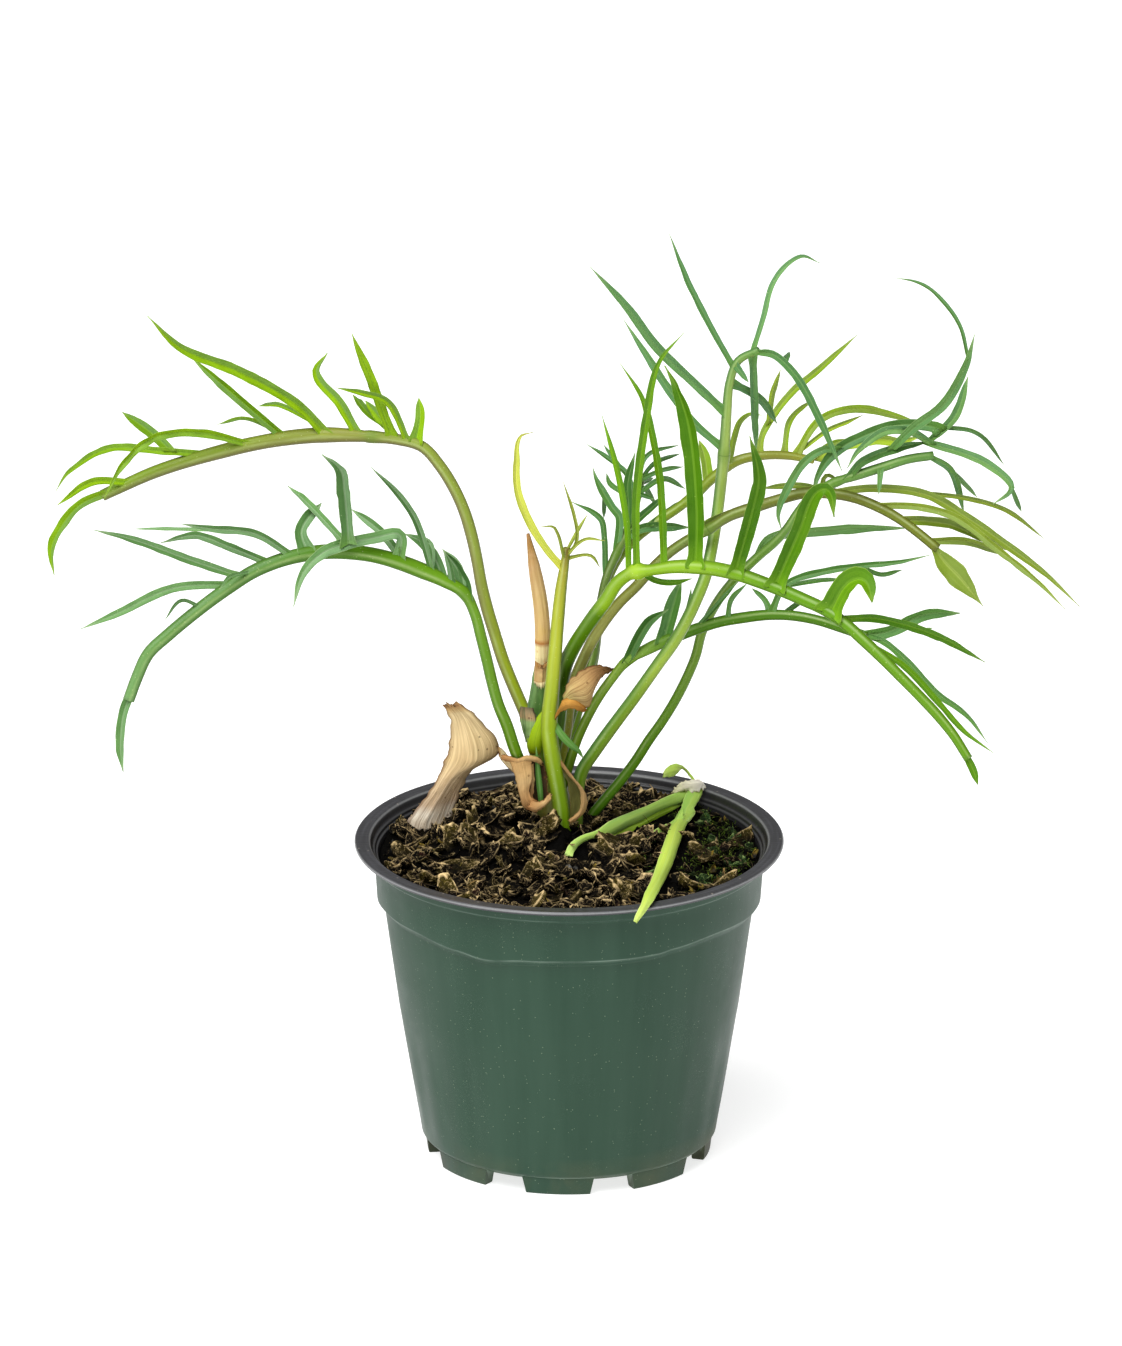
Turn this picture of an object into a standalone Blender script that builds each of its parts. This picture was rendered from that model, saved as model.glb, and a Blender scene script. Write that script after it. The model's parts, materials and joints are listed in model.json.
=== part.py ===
"""Philodendron tortum in a round plastic nursery pot, at its real size.

+Z is up and -Y faces the viewer. The origin is on the pot's axis, at the underside of its feet.
All tables are in millimetres. The model itself is in metres.
"""

import math

import bmesh
import bpy
from mathutils import Matrix, Vector, noise

MM = 0.001
GAP = 0.35

# The plant's tables give each place as (across, depth, seen height). The seen height is read along
# the line of sight of someone who looks down at the plant by this angle, so that a stem keeps its
# outline for them when its depth changes.
VIEW_DOWN = math.radians(19.8)
TO_VIEWER = Vector((0, -math.cos(VIEW_DOWN), math.sin(VIEW_DOWN)))

# Pot: its outside runs as (radius, height) from the floor's underside up to the lip, its inside back
# down to the floor
POT_HEIGHT = 125.6
LIP_RADIUS = 82.5
LIP_INNER = 76.2
COLLAR_RADIUS = 74.8
BAND_RADIUS = 76.6
FOOT_HEIGHT = 6.0
FOOT_COUNT = 8
FOOT_SPAN = math.radians(29)
FOOT_TAPER = 0.9
FOOT_SUNK = 0.8
FOOT_STEPS = 4
FOOT_TURN = math.radians(-4.5)
FOOT_RADII = (49.5, 55.3)
FLOOR_TOP = 8.2
SLOT_SIZE = (7, 9, 12)
SLOT_RADIUS = 47
POT_SIDES = 48
POT_OUTSIDE = [
    (0, FOOT_HEIGHT),
    (54.2, FOOT_HEIGHT),
    (56.6, 8.2),
    (58.6, 19.6),
    (65.3, 60),
    (70.8, 99.6),
    (71.6, 100.4),
    (73.6, 102.4),
    (COLLAR_RADIUS, 118.6),
    (BAND_RADIUS, 119.4),
    (77.3, 123.6),
    (80.6, 124.0),
    (82.2, 124.0),
    (LIP_RADIUS, 124.9),
    (81.9, POT_HEIGHT),
]
POT_INSIDE = [
    (77.2, POT_HEIGHT),
    (LIP_INNER, 124.6),
    (73.1, 121.0),
    (71.6, 103.2),
    (69.4, 100.2),
    (63.3, 60),
    (56.4, 19.0),
    (54.4, FLOOR_TOP),
    (0, FLOOR_TOP),
]

# Soil
SOIL_EDGE = 118.8
SOIL_MOUND = 10.5
SOIL_MOUND_AT = (-6, 15)
SOIL_MOUND_SPREAD = 27
SOIL_ROUGH = 1.5
FINE_LUMPS = 0.17
COARSE_LUMPS = 0.068
SOIL_RADIUS = 72.5
SOIL_RINGS = 10
SOIL_SIDES = 40

# Stems and blades
STALK_SIDES = 6
STALK_STEP = 10
BLADE_STEP = 8.5
SEAT_POINTS = 4
BLADE_THICK = 1.3
BLADE_LIFT = 0.12
LEAN_CURVE = 1.3
SHEATH_STEP = 6
SHEATH_THICK = 1.2
TWIST = math.radians(16)
LOBE_SPREAD = 1.8
ROOT_FLARE = 0.35
TIP_START = 0.66
SMOOTH_ANGLE = 50

STEM = {
    "path": [
        (-5, 11, 112), (-5, 11, 136), (-8.5, 10, 153), (-12.5, 10, 167), (-12.6, 9, 178), (-11, 8, 190),
        (-10.2, 7.5, 195),
    ],
    "widths": [17, 16, 13.5, 10, 7, 6.3, 6.2],
}
SPIKE_SHEATH = {
    "path": [
        (-10.2, 7.5, 195.8), (-10, 7, 205.3), (-10.7, 6.5, 219.6), (-13, 6, 234.6), (-15.7, 5.5, 249.7),
    ],
    "widths": [5.8, 5.9, 5.6, 4.6, 1.3],
}
FRONT_STALK = {
    "path": [
        (-2.6, -2, 122), (-2.8, -2.5, 136.6), (-5.4, -3.5, 153.6), (-7.6, -5, 170), (-6.5, -7, 186.6),
        (-5.2, -6.5, 202.9), (-3.8, -3, 219.6), (-2.4, 0, 232.6), (-1.1, 0, 240.3), (-0.8, 0, 244),
    ],
    "widths": [6.6, 6.6, 6.5, 6.3, 6.1, 5.7, 5.2, 4.8, 4.4, 2.6],
    "blades": [
        (3.2, 12, (-3, 236), (-8, 242.3), (-13, 250), (-17, 258), (-20, 268), (-20.3, 279), (-19, 289),
         (-13.8, 291)),
        (1.4, -4, (-1, 240), (3, 247), (2, 257), (-2.3, 271)),
        (1.3, -6, (-2, 238), (-5.4, 252), (-11, 252.5)),
        (1.4, -5, (-1, 241), (6, 247.5), (13.8, 246.8)),
        (1.5, 3, (-1, 242), (4, 252), (7, 257.4)),
        (1.3, 2, (-1, 239), (8, 241), (11.9, 236)),
        (4.6, 5, (-4.6, 178), (-1.5, 183), (4, 187), (9, 191.5), (16.6, 195)),
    ],
}

# Each lobe is (width, how far its tip leans behind its root, places on its midline as (across, seen)).
# LOBE_SPREAD scales every lean.
FRONDS = {
    "frond_left_upper": {
        "petiole": [
            (-12.5, 11, 160), (-14.5, 13, 171), (-19.2, 15, 182.5), (-25.3, 17, 198.4), (-30, 19, 214.7),
            (-32.6, 20, 224), (-36.8, 23, 247), (-42, 26, 264), (-50.5, 29, 279), (-57.4, 31, 285.9),
        ],
        "rachis": [
            (-73, 34, 289), (-95, 38, 290), (-116, 41, 287.5), (-138, 44, 282), (-159, 46, 275),
            (-179, 46, 265.5),
        ],
        "widths": (5.0, 4.3, 3.0),
        "lobes": [
            (3.8, -6, (-176, 267), (-187, 262), (-194, 254), (-198.5, 244), (-197.5, 233)),
            (4.5, -10, (-93, 292), (-105, 303), (-127, 316), (-148, 325), (-161, 338)),
            (3.6, 12, (-109, 291), (-122.5, 301), (-135.5, 313), (-145, 322)),
            (2.2, 16, (-98, 294), (-110.6, 302), (-119.5, 302)),
            (1.6, 10, (-114, 291), (-124, 297), (-135, 294.5)),
            (4.0, 6, (-80, 293), (-88, 303), (-97, 315), (-92.5, 323.5)),
            (3.9, -7, (-67.5, 292), (-76, 313), (-81, 325.5), (-83, 331)),
            (2.4, 9, (-71, 292), (-78, 304)),
            (2.4, 14, (-65, 291), (-74, 304)),
            (1.5, -8, (-61, 291), (-69, 303), (-79, 307), (-89, 309)),
            (3.0, 5, (-58, 290), (-57, 297), (-57.5, 305)),
            (3.0, 18, (-70, 293), (-77, 299), (-83, 306.5)),
            (3.4, -12, (-122, 289), (-141, 291), (-159, 289), (-171, 278), (-178, 264)),
            (3.0, 8, (-138, 284), (-157, 283.5), (-176.5, 284.5), (-192, 275), (-197, 267.5)),
            (4.2, 12, (-152, 281), (-159, 290), (-171.5, 299.5)),
            (3.2, -10, (-170, 273), (-183, 271), (-196, 261.5)),
        ],
    },
    "frond_left_lower": {
        "petiole": [
            (-9.5, 7, 143), (-15, 1, 150.5), (-20, -4, 159), (-22, -6, 167), (-27.6, -9, 182),
            (-31.4, -11, 198.4), (-35.2, -13, 214), (-38, -14, 223),
        ],
        "rachis": [
            (-43.3, -15, 228), (-57, -18, 235), (-75, -22, 241), (-96, -27, 242), (-117, -32, 236),
            (-134, -37, 224.5), (-149, -42, 212), (-162, -46, 199), (-164.5, -47, 192), (-168, -49, 182),
        ],
        "widths": (4.7, 4.2, 3.0),
        "lobes": [
            (3.8, -4, (-167, 187), (-170, 176), (-171, 163), (-170, 153)),
            (2.8, -8, (-50.5, 237), (-58, 254), (-65, 265.5), (-75.5, 276.5)),
            (4.2, -14, (-65, 240), (-64.5, 249), (-72, 248.5), (-92, 243), (-101.5, 233.5), (-105, 220)),
            (2.4, 6, (-51, 235), (-53, 245), (-61, 249.5)),
            (2.4, -5, (-45, 229), (-45.5, 236), (-47.5, 242.5)),
            (2.4, 5, (-38, 227), (-42, 236.5), (-48.5, 243.5)),
            (3.4, 8, (-67, 242), (-72.5, 251), (-83, 259.5)),
            (4.5, -9, (-83.5, 245), (-85.5, 267), (-87, 275.5), (-94, 281.5)),
            (3.0, 14, (-86, 247), (-99, 261), (-107.5, 269)),
            (4.8, 9, (-100, 242), (-102, 251), (-94.5, 262)),
            (3.1, -8, (-105, 242), (-119.5, 249.5), (-136, 251.5), (-148, 253.5)),
            (1.5, 9, (-125, 249), (-153, 251.5), (-167, 251.5)),
            (3.4, 12, (-114, 238), (-130, 244.5), (-142.5, 249), (-156, 246)),
            (3.4, -7, (-125, 233), (-145, 239), (-164.5, 246.5), (-181, 251)),
            (3.5, 9, (-129, 230), (-151, 227.5), (-172, 217.5), (-186.5, 211)),
            (1.4, -7, (-141, 220), (-148, 222.5), (-154, 214.5)),
            (1.7, -9, (-121, 236), (-129, 232), (-133, 227)),
        ],
    },
    "frond_right_front": {
        "petiole": [
            (-9.5, 8, 151), (-5.8, 5, 163.8), (-3.4, 3.5, 182), (-2.6, 1, 192.3), (1.2, -4, 202.5),
            (7.7, -12, 213.5), (14.2, -18, 222.8), (21, -24, 232.6),
        ],
        "rachis": [
            (28.3, -30, 234.3), (42.5, -40, 236.3), (59, -51, 234.6), (72.7, -60, 230), (86.5, -69, 224),
            (100.3, -78, 216.7), (113.7, -86, 204.5), (126, -93, 191.5), (137.4, -99, 179),
            (145, -103, 169.5), (151.6, -106, 158.5),
        ],
        "widths": (5.4, 4.3, 2.6),
        "lobes": [
            (3.2, -1, (150.5, 161), (153.5, 154), (155.3, 148)),
            (2.6, 10, (22, 234), (22.2, 252), (18.5, 275), (12.6, 297.5)),
            (2.5, -12, (26, 235), (25.7, 264), (29.9, 299), (34, 318), (43.6, 330.5)),
            (2.7, 14, (36, 236), (34.8, 267.5), (31.8, 288), (27.6, 304.5), (19.5, 318.5)),
            (6.2, 8, (48, 237), (48.6, 260), (45.9, 291.5), (40.6, 309.5), (36.4, 317.5)),
            (5.9, -14, (64, 236), (70, 260), (72, 272), (68.5, 288.5)),
            (5.8, -4, (79.5, 230), (87.3, 250), (93, 265), (98.5, 267), (100.7, 256)),
            (6.2, -7, (99.5, 218), (105.5, 229), (112, 230.5), (115, 221.5)),
            (3.4, 14, (105, 217), (118, 215), (140.5, 208), (158.5, 197.5)),
            (2.5, -9, (113.7, 206), (127, 196), (142, 179), (150, 169.5), (161.6, 160.5)),
        ],
    },
    "frond_right_low": {
        "petiole": [
            (-2.5, 7, 147), (1.2, 6, 159.8), (3.9, 5, 168.3), (8.4, 4, 177.7), (12.6, 3, 185.4),
            (17.2, 2, 191.9),
        ],
        "rachis": [
            (20.8, 0, 196.8), (27.2, -1, 201.3), (35.2, -2, 205.3), (45.6, -3, 209.8), (56, -5, 213.5),
            (66, -8, 215.5), (76.2, -12, 216.7), (86.5, -15, 216.3), (93.4, -17, 215), (103, -20, 211.8),
            (113.7, -24, 208),
        ],
        "widths": (4.0, 3.5, 2.8),
        "lobes": [
            (2.8, -10, (110, 209.5), (120, 206), (130, 197), (140, 185.5), (152, 176), (160, 164.5)),
            (3.0, -5, (21.5, 198), (30, 213), (38, 219)),
            (4.4, 6, (36, 206), (41, 224.5), (43, 230.5)),
            (1.8, 4, (42.5, 209), (45.6, 220), (46.7, 227.5)),
            (2.0, -3, (48, 211), (57, 221), (64.7, 230.5)),
            (2.0, -6, (60, 215), (62, 223), (68, 229.5)),
            (2.2, 7, (77.5, 217), (75, 222.5), (70, 227.5)),
            (2.8, -8, (77.5, 217), (83, 229), (96.5, 234), (112, 236.5), (126, 238), (138, 241)),
            (1.9, 8, (84, 227), (96.5, 231), (106, 231)),
            (1.9, 7, (112, 236), (119, 233), (127.5, 235)),
            (2.2, 7, (81, 218), (90.5, 223.5)),
            (4.8, 8, (112, 208), (122, 210), (136, 217), (149.5, 217.5)),
            (1.8, -6, (128, 212), (133, 210.2), (139, 211.4)),
        ],
    },
    "frond_tall": {
        "petiole": [
            (2.6, 4, 124), (3.0, 3.5, 140), (4.2, 2.5, 151.2), (10, -1, 161.4), (17.2, -4, 172),
            (26, -8, 184.6), (33.3, -11, 195.6), (40.6, -13, 206.5), (45.9, -14, 216.7), (51.7, -9, 231),
            (53.8, -4, 240), (55.5, 2, 249.3), (57, 8, 260.3), (58.2, 9, 271.6),
        ],
        "rachis": [
            (59.3, 8, 283), (60.5, 6, 303), (61.6, 5, 312.3), (64, 4, 319), (68, 3, 322.3), (72.4, 1, 324),
        ],
        "widths": (5.0, 4.4, 2.8),
        "lobes": [
            (3.3, -16, (71, 323.5), (78, 322.3), (84, 317), (89, 310), (94, 300), (98, 291), (104, 275)),
            (3.8, -12, (59.7, 299), (48, 310.5), (33.3, 325.5), (22, 341.5), (8, 357.5)),
            (3.3, 12, (58.6, 283.5), (47.5, 295), (38, 308.5), (29.5, 322.5), (21, 336.5)),
            (2.6, 6, (62, 316.4), (54, 333.5), (45.2, 352), (38.3, 371)),
            (2.2, 14, (70, 324), (74, 336.5), (78.5, 352.5), (88, 362), (96, 359.5)),
            (3.3, 9, (62.5, 311), (73, 304.5), (79.6, 294.5)),
            (2.4, -4, (65, 318), (68.5, 311)),
            (3.3, 13, (70, 322), (70.5, 307), (70.8, 295), (71.6, 283.5)),
            (1.8, 5, (81, 319), (84.2, 323.3)),
        ],
    },
    "frond_olive": {
        "petiole": [
            (-4.5, 11.5, 152), (-3.2, 12.5, 158), (-1.1, 13, 170), (1.1, 12, 186.2), (5.7, 10, 199.2),
            (10, 8, 208.2), (17.2, 5, 219.2), (26.8, 2, 229.5), (34, 0, 238), (43, -3, 245.6),
        ],
        "rachis": [
            (53.6, -6, 251.7), (59.7, -7, 256), (66.2, -7, 259), (75, -7.5, 261.5), (83, -8, 264.5),
            (92.3, -8.5, 266.3), (106.8, -11, 264.8), (121.7, -17, 258.4), (134, -23, 249.3),
            (140.5, -26, 243.5),
        ],
        "widths": (4.7, 3.9, 3.0),
        "lobes": [
            (7.6, -8, (138, 246), (143.5, 238), (149, 232), (158, 220)),
            (2.6, 5, (99, 266), (90, 269), (81, 269), (73.5, 268)),
            (
                3.5, -9, (100, 266), (116, 268), (136, 265.5), (152, 256), (167.5, 244.5), (182, 233),
                (195, 220),
            ),
            (3.8, -18, (116, 261), (134, 260.5), (148, 256), (164, 243), (179, 230), (189, 219)),
            (3.8, 8, (127, 255), (144, 253.5), (155, 249), (167, 243)),
            (3.0, 12, (137, 247), (152, 246.5), (167, 241)),
            (2.0, 10, (134, 265.8), (152, 264), (167.5, 259), (182, 247.5)),
            (1.7, 4, (96, 266), (98, 273), (103, 271)),
        ],
    },
    "frond_far_right": {
        "petiole": [
            (6.5, 18, 124), (7.3, 18, 131.7), (14.9, 17, 143), (23, 16.5, 153.3), (30.2, 16, 165),
            (37.9, 15.5, 176.8), (43.6, 15, 187.8), (48.2, 15, 198.8), (51.4, 14, 211), (59.3, 6, 226),
            (70.1, -3, 238.3), (81.2, -13, 249), (86.5, -17, 257), (91.5, -20, 263.9), (98, -21, 268.8),
        ],
        "rachis": [
            (106, -20, 272), (113.7, -18, 274.5), (121.7, -16, 277.3), (129.4, -14, 279.8),
            (139, -12, 281.3),
        ],
        "widths": (4.0, 3.4, 2.8),
        "lobes": [
            (3.6, 6, (106, 273), (112, 279), (125, 284.5), (137.5, 287)),
            (3.8, -8, (124, 284), (131, 292), (143, 302), (151, 317), (154.3, 330)),
            (3.4, 12, (137, 286), (147.5, 297.5), (152.5, 313.5)),
            (1.7, 9, (151.5, 320), (148.5, 334), (140, 346), (133, 351), (124.5, 353)),
            (3.5, -10, (136, 286), (155.5, 280), (166.5, 272), (168.5, 267.5), (161.6, 261.5)),
            (2.8, 6, (138, 282), (146, 275), (151, 258)),
            (
                3.5, -5, (144, 289.5), (139, 293), (125, 293.5), (108, 287), (100, 281), (95, 273),
                (93, 264.5),
            ),
            (3.3, -9, (139, 285), (130, 291.2), (120, 291), (110, 283), (106, 276)),
            (3.4, -4, (103, 283), (97, 283.5), (90, 278.5), (84, 268.5), (80, 258), (81, 251.5)),
            (1.5, 10, (139, 293), (155.5, 290.5), (166.5, 277.5)),
            (2.0, -6, (118, 277), (118, 265.5)),
            (1.9, 4, (168, 269), (172.7, 258.6)),
            (2.0, 8, (147, 276), (156, 264.5)),
            (3.8, 6, (71, 240), (77, 248), (94, 250.5), (113, 252), (130, 252)),
        ],
    },
    "frond_back_right": {
        "petiole": [
            (-5, 19, 126), (-4, 20, 139), (-1, 25, 155), (2.5, 30, 174), (9, 36, 196), (11.5, 40, 214.7),
            (15, 47, 232), (21, 52, 243), (30, 56, 252), (40, 58, 259),
        ],
        "rachis": [
            (50, 58, 267.6), (59, 57, 276), (66.6, 57, 280.6), (74, 58, 281.8), (81.2, 60, 282.2),
            (88.4, 62, 281), (94, 63, 280),
        ],
        "widths": (3.8, 3.8, 2.4),
        "lobes": [
            (5.0, 6, (54, 271), (52, 281.5), (50, 288)),
            (3.2, 24, (86.5, 282), (96, 296), (110, 301), (126.5, 298), (136, 294.5)),
            (2.9, 27, (73, 282), (75, 292), (85, 307), (96, 317), (111, 331.5)),
            (2.4, -10, (76, 295), (78, 307), (81, 316.5)),
            (2.4, 15, (82, 283), (85, 296), (94, 305)),
            (2.4, -12, (61, 278), (64.7, 294), (69, 298.5), (74, 298)),
            (1.9, 12, (88, 283), (99, 292), (107.6, 296), (113, 298.5)),
            (2.2, -10, (92, 281), (100, 286), (107.5, 288.5)),
        ],
    },
    "frond_back_left": {
        "petiole": [
            (-7.5, 15, 151), (-2.7, 19, 158.5), (0.4, 23, 174), (8.6, 28, 196.4), (10, 30, 204),
            (11.1, 33, 214.7), (12.8, 36, 225), (15.3, 40, 235),
        ],
        "rachis": [(18.8, 46, 242.8), (23.4, 56, 253.3), (26, 67, 263.5), (28, 79, 272.5)],
        "widths": (3.7, 3.3, 2.2),
        "lobes": [
            (2.5, 14, (13.5, 230), (13, 253.5), (10, 258), (1, 263)),
            (2.8, 20, (17, 240), (19.5, 256), (16.5, 261), (10.7, 272), (9.2, 277)),
            (1.8, 5, (13.8, 267), (13.4, 256.5)),
            (1.9, 10, (25.5, 261), (22.6, 273.5), (16.5, 279.5), (7, 286.5)),
            (1.8, 12, (22, 273), (13.4, 286.5)),
            (1.8, 11, (26, 268), (29.5, 281.5), (42.5, 286.5)),
            (1.8, 15, (27.8, 272), (33, 279), (43, 283)),
            (1.9, 10, (27.8, 272), (36, 276), (44, 277.5)),
            (1.8, 8, (27.5, 270), (32.5, 273)),
            (1.9, -6, (26.5, 267), (32.5, 264)),
            (2.2, 10, (26.5, 266), (36, 272.5), (44.8, 268.5)),
        ],
    },
}

# Dry sheaths round the crown, each rooted in the stem or the soil: places, then widths
SHEATHS = {
    "sheath_left": {
        "path": [(-10, 10, 142), (-17, 9, 150), (-23.5, 8, 156), (-29, 8, 161), (-37, 9, 163.5)],
        "widths": [5, 6, 7, 9, 9],
        "curl": [
            (-44.4, 4, 180), (-39.2, 6, 173), (-38.6, 8, 164), (-43.6, 10, 151.6), (-49, 13, 140),
            (-53, 16, 130),
        ],
        "curl_widths": [5, 14, 17, 13, 15, 12],
    },
    "sheath_front": {
        "path": [(-12, -4, 124), (-13, -4.5, 137), (-14, -4.5, 147), (-15.5, -4, 156)],
        "widths": [7, 9, 9, 5],
    },
    "sheath_right": {
        "path": [(4.4, -4, 124), (4.5, -4.2, 136), (4.3, -3.8, 147), (3.6, -3.6, 156)],
        "widths": [5, 6, 6, 3],
    },
}

# A broken leaf lies from the lip at the back right over the soil to the front lip.
FALLEN_LEAF = {
    "long": [
        (51, 59, 149), (46.5, 46, 139.5), (46.3, 30, 132.8), (42.5, -1, 121.4), (36.8, -33, 110.6),
        (33, -60, 104.6), (31, -75, 100), (26, -84, 95), (24, -87.5, 90.5),
    ],
    "short": [
        (50, 57, 148.3), (42.5, 48, 141.5), (31, 32, 136.5), (20, 10, 130.2), (12, -3, 127.2),
        (4.5, -10, 124.4), (-0.8, -15, 120.6), (-1.4, -18, 118.8),
    ],
    "scrap": [(36, 40, 139), (38, 22, 131.5), (29, 14, 128.5)],
    "curl": [(50, 57, 148.3), (46.5, 60, 153), (41, 56, 154.5), (37, 50, 150)],
    "widths": (6.3, 7.2, 4.5, 2.6),
}

COLOURS = {
    "pot": ((0.030, 0.055, 0.045), 0.42),
    "soil": ((0.045, 0.030, 0.020), 0.95),
    "stem": ((0.20, 0.27, 0.07), 0.55),
    "spike_sheath": ((0.55, 0.27, 0.10), 0.60),
    "front_stalk": ((0.36, 0.42, 0.11), 0.45),
    "sheath": ((0.62, 0.43, 0.24), 0.80),
    "fallen_leaf": ((0.42, 0.50, 0.18), 0.50),
    "frond_left_upper": ((0.10, 0.27, 0.05), 0.38),
    "frond_left_lower": ((0.035, 0.15, 0.06), 0.36),
    "frond_right_front": ((0.16, 0.38, 0.04), 0.36),
    "frond_right_low": ((0.03, 0.12, 0.04), 0.36),
    "frond_tall": ((0.03, 0.11, 0.03), 0.34),
    "frond_olive": ((0.09, 0.19, 0.04), 0.38),
    "frond_far_right": ((0.04, 0.13, 0.05), 0.36),
    "frond_back_right": ((0.12, 0.26, 0.03), 0.40),
    "frond_back_left": ((0.04, 0.13, 0.04), 0.40),
}


def clear_scene():
    for obj in list(bpy.data.objects):
        bpy.data.objects.remove(obj)


def material(name):
    found = bpy.data.materials.get(name)
    if found:
        return found
    colour, roughness = COLOURS[name]
    made = bpy.data.materials.new(name)
    made.use_nodes = True
    shader = made.node_tree.nodes["Principled BSDF"]
    shader.inputs["Base Color"].default_value = (*colour, 1)
    shader.inputs["Roughness"].default_value = roughness
    return made


def place(across, depth, seen):
    """The point in millimetres for a place of the plant's tables."""
    return Vector((across, depth, seen - depth * math.tan(VIEW_DOWN)))


def seen_height(point):
    return point.z + point.y * math.tan(VIEW_DOWN)


def curve_through(points, step, fewest=3):
    """Even points on a smooth curve through the given ones, and how far along each one lies, 0 to 1."""
    ends = [2 * points[0] - points[1], *points, 2 * points[-1] - points[-2]]
    fine = []
    for before, start, end, after in zip(ends, ends[1:], ends[2:], ends[3:]):
        span = (end - start).length
        leave = (end - before).normalized() * span
        arrive = (after - start).normalized() * span
        for share in (0, 0.125, 0.25, 0.375, 0.5, 0.625, 0.75, 0.875):
            square = share * share
            cube = square * share
            fine.append(
                (2 * cube - 3 * square + 1) * start + (cube - 2 * square + share) * leave
                + (3 * square - 2 * cube) * end + (cube - square) * arrive
            )
    fine.append(points[-1])
    reach = [0.0]
    for first, second in zip(fine, fine[1:]):
        reach.append(reach[-1] + (second - first).length)
    count = max(fewest, round(reach[-1] / step))
    made = []
    at = 0
    for index in range(count + 1):
        wanted = reach[-1] * index / count
        while at < len(fine) - 2 and reach[at + 1] < wanted:
            at += 1
        share = (wanted - reach[at]) / max(reach[at + 1] - reach[at], 1e-9)
        made.append(fine[at].lerp(fine[at + 1], min(1, share)))
    return made


def tangents(path):
    ahead = path[1:] + path[-1:]
    behind = path[:1] + path[:-1]
    return [(a - b).normalized() for a, b in zip(ahead, behind)]


def between(values, share):
    """Reads a list of values as evenly spaced along a piece."""
    at = share * (len(values) - 1)
    low = min(int(at), len(values) - 2)
    return values[low] + (values[low + 1] - values[low]) * (at - low)


def tube(path, widths, sides=STALK_SIDES, grow=0.0):
    """Points and faces of a closed round stalk. widths has one value for each point."""
    side = path[1] - path[0]
    side = side.cross(Vector((0.3, 1, 0.2))).normalized()
    points = []
    for centre, ahead, width in zip(path, tangents(path), widths):
        side = (side - ahead * side.dot(ahead)).normalized()
        up = ahead.cross(side)
        for corner in range(sides):
            turn = 2 * math.pi * corner / sides
            points.append(centre + (side * math.cos(turn) + up * math.sin(turn)) * (width / 2 + grow))
    faces = []
    for ring in range(len(path) - 1):
        for corner in range(sides):
            following = (corner + 1) % sides
            low = ring * sides
            faces.append((low + corner, low + following, low + sides + following))
            faces.append((low + corner, low + sides + following, low + sides + corner))
    last = (len(path) - 1) * sides
    for corner in range(1, sides - 1):
        faces.append((0, corner + 1, corner))
        faces.append((last, last + corner, last + corner + 1))
    return points, faces


def blade(path, widths, thick=BLADE_THICK, roll=0.0, grow=0.0):
    """Points and faces of a leaf blade with a keel: a bent rhombus swept along its midline.

    Both faces are split into triangles alike, so that they never cross where the blade is waved.
    """
    points = []
    total = len(path) - 1
    for index, (centre, ahead) in enumerate(zip(path, tangents(path))):
        side = ahead.cross(TO_VIEWER).normalized()
        side = Matrix.Rotation(roll * (0.4 + 1.2 * index / total), 3, ahead) @ side
        face = side.cross(ahead)
        if index == total:
            points.append(centre + ahead * grow)
            break
        half = widths[index] / 2 + grow
        lift = face * (BLADE_LIFT * widths[index])
        deep = face * (min(thick, 0.35 + 0.55 * widths[index]) / 2 + grow)
        points += [centre - side * half + lift, centre + deep, centre + side * half + lift, centre - deep]
    faces = [(0, 1, 3), (1, 2, 3)]
    for ring in range(0, 4 * (total - 1), 4):
        left, top, right, bottom = range(ring, ring + 4)
        faces += [
            (left, left + 4, top + 4), (left, top + 4, top),
            (right, top + 4, right + 4), (right, top, top + 4),
            (right, right + 4, bottom + 4), (right, bottom + 4, bottom),
            (left, bottom + 4, left + 4), (left, bottom, bottom + 4),
        ]
    tip = 4 * total
    left, top, right, bottom = range(tip - 4, tip)
    faces += [(left, tip, top), (top, tip, right), (right, tip, bottom), (bottom, tip, left)]
    return points, faces


def lobe_width(share, width):
    """A lobe is broad at its root, narrows, swells past the middle and ends in a blunt point."""
    body = 0.80 + 0.20 * math.sin(math.pi * min(1, share / 0.85))
    root = 1 + ROOT_FLARE * math.exp(-((share / 0.07) ** 2))
    tip = 1 - max(0, (share - TIP_START) / (1 - TIP_START)) ** 2
    return width * body * root * max(tip, 0.12)


def add_solid(name, points, faces, colour):
    mesh = bpy.data.meshes.new(name)
    mesh.from_pydata([point * MM for point in points], [], faces)
    work = bmesh.new()
    work.from_mesh(mesh)
    bmesh.ops.recalc_face_normals(work, faces=work.faces)
    work.to_mesh(mesh)
    work.free()
    mesh.materials.append(material(colour))
    obj = bpy.data.objects.new(name, mesh)
    bpy.context.scene.collection.objects.link(obj)
    return obj


def combine(obj, solids, operation, solver="MANIFOLD"):
    """Joins solids to the object or cuts them from it, and removes them."""
    helpers = bpy.data.collections.new(obj.name + "_helpers")
    bpy.context.scene.collection.children.link(helpers)
    for index, (points, faces) in enumerate(solids):
        helper = add_solid(f"{obj.name}_helper_{index}", points, faces, obj.data.materials[0].name)
        bpy.context.scene.collection.objects.unlink(helper)
        helpers.objects.link(helper)
    change = obj.modifiers.new("combine", "BOOLEAN")
    change.operation = operation
    change.solver = solver
    change.operand_type = "COLLECTION"
    change.collection = helpers
    result = bpy.data.meshes.new_from_object(obj.evaluated_get(bpy.context.evaluated_depsgraph_get()))
    obj.modifiers.remove(change)
    obj.data = result
    for helper in list(helpers.objects):
        bpy.data.objects.remove(helper)
    bpy.data.collections.remove(helpers)


def shade(obj, angle=SMOOTH_ANGLE):
    obj.data.shade_smooth()
    obj.data.set_sharp_from_angle(angle=math.radians(angle))


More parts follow.
